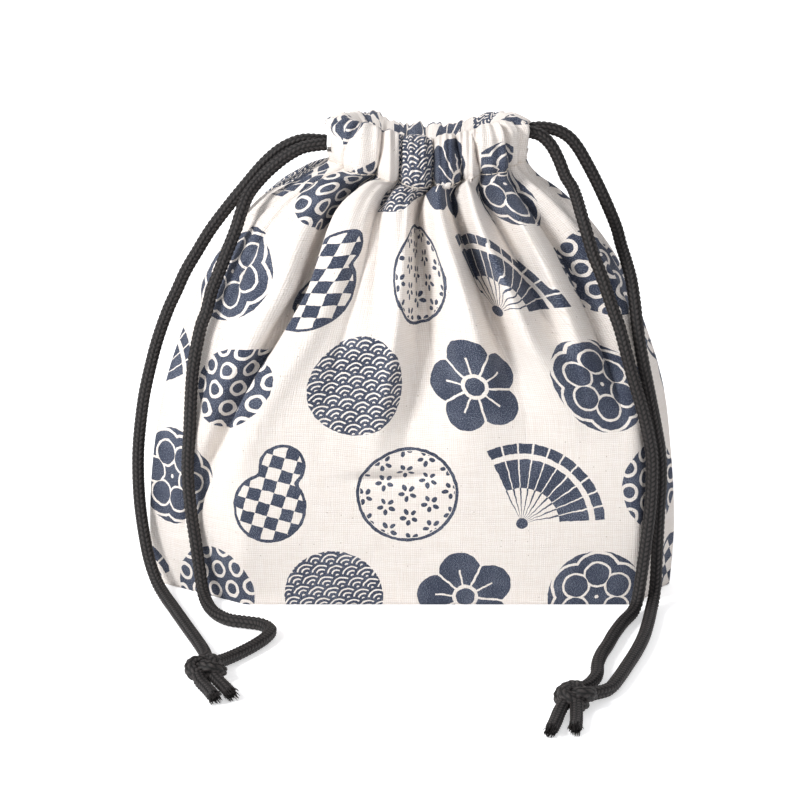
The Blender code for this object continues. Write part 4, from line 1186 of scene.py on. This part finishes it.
# Plain weave: warp and weft crowns in turn, each rounded
weaveSums = [
    ("warpTurn", "MULTIPLY", "u", math.pi / canvasSet["yarn"]),
    ("weftTurn", "MULTIPLY", "v", math.pi / canvasSet["yarn"]),
    ("warpSine", "SINE", "warpTurn"), ("weftSine", "SINE", "weftTurn"),
    ("warp", "ABSOLUTE", "warpSine"), ("weft", "ABSOLUTE", "weftSine"),
    ("warpCos", "COSINE", "warpTurn"), ("weftCos", "COSINE", "weftTurn"),
    ("crossing", "MULTIPLY", "warpCos", "weftCos"), ("warpUp", "MAXIMUM", "crossing", 0.0),
    ("weftTop", "MULTIPLY", "crossing", -1.0), ("weftUp", "MAXIMUM", "weftTop", 0.0),
    ("warpPart", "MULTIPLY_ADD", "warpUp", 0.6, "warp"),
    ("weave", "MULTIPLY_ADD", "weftUp", 0.6, "warpPart"), ("weaveAll", "ADD", "weave", "weft"),
    ("weaveHeight", "MULTIPLY", "weaveAll", 0.4),
]

# Noises on the flat cloth: scale across and up per mm, detail and roughness. Yarns wander by a
# fraction of their width, slubs run on for centimetres, and ink skips in grains and in patches
clothNoises = {"wander": (0.35, 0.35, 2.0, 0.5),
               "warpSlub": (canvasSet["slubThin"], canvasSet["slubLong"], 3.0, 0.5),
               "weftSlub": (canvasSet["slubLong"], canvasSet["slubThin"], 3.0, 0.5)}
inkNoises = {"grain": (2.4, 2.4, 2.0, 0.75), "patch": (0.09, 0.09, 2.0, 0.5)}
# Ranges: value, its low and high, and what these become
# The gap range paints shade into the low places of the weave, between the yarns
clothRanges = {"slubTone": ("slub", 0.8, 1.3, 0.0, 0.4), "gapShade": ("weaveHeight", 0.15, 0.75, 0.58, 0.0)}
inkRanges = {"skip": ("thin", 0.60, 0.82, 0.0, 0.8)}


def makeCanvas(name, printed):
    made, tree = emptyMaterial(name)
    flat = addNode(tree, "ShaderNodeUVMap", {"uv_map": "canvasFlat"}).outputs[0]
    values, colours = {}, {}
    for label, (across, up, detail, roughness) in (clothNoises | (inkNoises if printed else {})).items():
        place = addNode(tree, "ShaderNodeVectorMath", {"operation": "MULTIPLY"},
                        {0: flat, 1: (across, up, 1.0)})
        noise = addNode(tree, "ShaderNodeTexNoise", {"noise_dimensions": "2D"},
                        {"Vector": place.outputs[0], "Scale": 1.0, "Detail": detail,
                         "Roughness": roughness})
        values[label], colours[label] = noise.outputs["Fac"], noise.outputs["Color"]
    wandered = addNode(tree, "ShaderNodeVectorMath", {"operation": "MULTIPLY_ADD"},
                       {0: colours["wander"], 1: (0.7, 0.7, 0.0), 2: flat})
    ends = addNode(tree, "ShaderNodeSeparateXYZ", None, {0: wandered.outputs[0]})
    values["u"], values["v"] = ends.outputs[0], ends.outputs[1]
    # seed specks: a few cells of a scatter, each with a dark dot at its middle
    specks = addNode(tree, "ShaderNodeTexVoronoi", {"voronoi_dimensions": "2D"},
                     {"Vector": flat, "Scale": 0.2, "Randomness": 1.0})
    cell = addNode(tree, "ShaderNodeSeparateColor", None, {0: specks.outputs["Color"]})
    values["speckAway"], values["speckCell"] = specks.outputs["Distance"], cell.outputs[0]
    addSums(tree, values, weaveSums + [
        ("slub", "ADD", "warpSlub", "weftSlub"), ("relief", "MULTIPLY_ADD", "slub", 0.5, "weaveHeight"),
        ("speckDot", "LESS_THAN", "speckAway", canvasSet["speckSize"]),
        ("speckRare", "GREATER_THAN", "speckCell", canvasSet["speckRare"]),
        ("speck", "MULTIPLY", "speckDot", "speckRare"), ("speckTone", "MULTIPLY", "speck", 0.55),
    ])
    if printed:
        addSums(tree, values, printSums() + [("thin", "MULTIPLY_ADD", "patch", 0.25, "grain")])
    for label, (value, low, high, atLow, atHigh) in (clothRanges | (inkRanges if printed else {})).items():
        values[label] = addNode(tree, "ShaderNodeMapRange", None,
                                {"Value": values[value], "From Min": low, "From Max": high,
                                 "To Min": atLow, "To Max": atHigh}).outputs[0]
    # darker slubs, painted shade in the gaps between the yarns, specks, then the ink over all of it
    colour = hexToLinear(canvasSet["canvas"])
    for fac, over in (("slubTone", "shadeYarn"), ("gapShade", "gap"), ("speckTone", "seed")):
        colour = addNode(tree, "ShaderNodeMixRGB", None,
                         {"Fac": values[fac], "Color1": colour,
                          "Color2": hexToLinear(canvasSet[over])}).outputs[0]
    if printed:
        ink = addNode(tree, "ShaderNodeMixRGB", None,
                      {"Fac": values["skip"], "Color1": hexToLinear(canvasSet["ink"]),
                       "Color2": hexToLinear(canvasSet["inkWorn"])})
        colour = addNode(tree, "ShaderNodeMixRGB", None,
                         {"Fac": values["printed"], "Color1": colour, "Color2": ink.outputs[0]}).outputs[0]
    weaveBump = addNode(tree, "ShaderNodeBump", None,
                        {"Strength": 1.0, "Distance": canvasSet["bump"] * mm, "Height": values["relief"]})
    shader = addNode(tree, "ShaderNodeBsdfPrincipled", None,
                     {"Base Color": colour, "Roughness": 0.92, "Normal": weaveBump.outputs[0],
                      "Sheen Weight": 0.08, "Sheen Roughness": 0.6, "Specular IOR Level": 0.25})
    addNode(tree, "ShaderNodeOutputMaterial", None, {"Surface": shader.outputs[0]})
    return made


pouchData, stitchLine = pouchMesh()
pouch = addPiece("pouch_canvas", pouchData, makeCanvas("screen_printed_cotton_canvas", True),
                 makeCanvas("unprinted_cotton_canvas_back", False))
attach(pouch, "root")
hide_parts("pouch_cloth")
print("canvas pouch made, triangles", sum(len(p.vertices) - 2 for p in pouchData.polygons))

# Casing seam: lockstitch in pale cotton thread, sunk between the gathers, one small hump a stitch.
# The thread is matt, a little warmer than the canvas and mottled by its twist
stitchSet = {"length": 2.3, "gap": 0.35, "radius": 0.25, "proud": 0.32, "dip": 0.05, "points": 6,
             "thread": "#ece4da", "threadShade": "#cfc3b4", "twistScale": 2500.0, "bump": 0.05}


def makeThreadMaterial():
    made, tree = emptyMaterial("pale_cotton_sewing_thread")
    place = addNode(tree, "ShaderNodeTexCoord").outputs["Object"]
    twist = addNode(tree, "ShaderNodeTexNoise", None,
                    {"Vector": place, "Scale": stitchSet["twistScale"], "Detail": 2.0})
    tone = addNode(tree, "ShaderNodeMixRGB", None,
                   {"Fac": twist.outputs["Fac"], "Color1": hexToLinear(stitchSet["thread"]),
                    "Color2": hexToLinear(stitchSet["threadShade"])})
    twistBump = addNode(tree, "ShaderNodeBump", None,
                        {"Strength": 0.4, "Distance": stitchSet["bump"] * mm,
                         "Height": twist.outputs["Fac"]})
    shader = addNode(tree, "ShaderNodeBsdfPrincipled", None,
                     {"Base Color": tone.outputs[0], "Roughness": 0.7, "Normal": twistBump.outputs[0],
                      "Specular IOR Level": 0.35})
    addNode(tree, "ShaderNodeOutputMaterial", None, {"Surface": shader.outputs[0]})
    return made


def stitchMesh(line):
    _, outward = lanePoint(np.arange(len(line)) / len(line))
    seat = line.copy()
    seat[:, :2] += outward * stitchSet["proud"]
    seat = np.vstack([seat, seat[:1]])
    run = np.concatenate(([0.0], np.cumsum(np.linalg.norm(np.diff(seat, axis=0), axis=1))))
    places, faces = [], []
    pitch = stitchSet["length"] + stitchSet["gap"]
    for k in range(int(run[-1] / pitch)):
        at = k * pitch + np.linspace(0, stitchSet["length"], stitchSet["points"])
        spine = np.column_stack([np.interp(at, run, seat[:, axis]) for axis in range(3)])
        spine[0, 2] -= stitchSet["dip"]
        placed, faced, _, _ = thinFibre(spine, stitchSet["radius"])
        start = sum(len(p) for p in places)
        faces += [tuple(i + start for i in face) for face in faced]
        places.append(placed)
    mesh = bpy.data.meshes.new("casing_stitches")
    mesh.from_pydata((np.concatenate(places) * mm).tolist(), [], faces)
    mesh.shade_smooth()
    return mesh


stitches = addPiece("casing_stitches", stitchMesh(stitchLine), makeThreadMaterial())
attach(stitches, "root")
print("casing seam stitched")
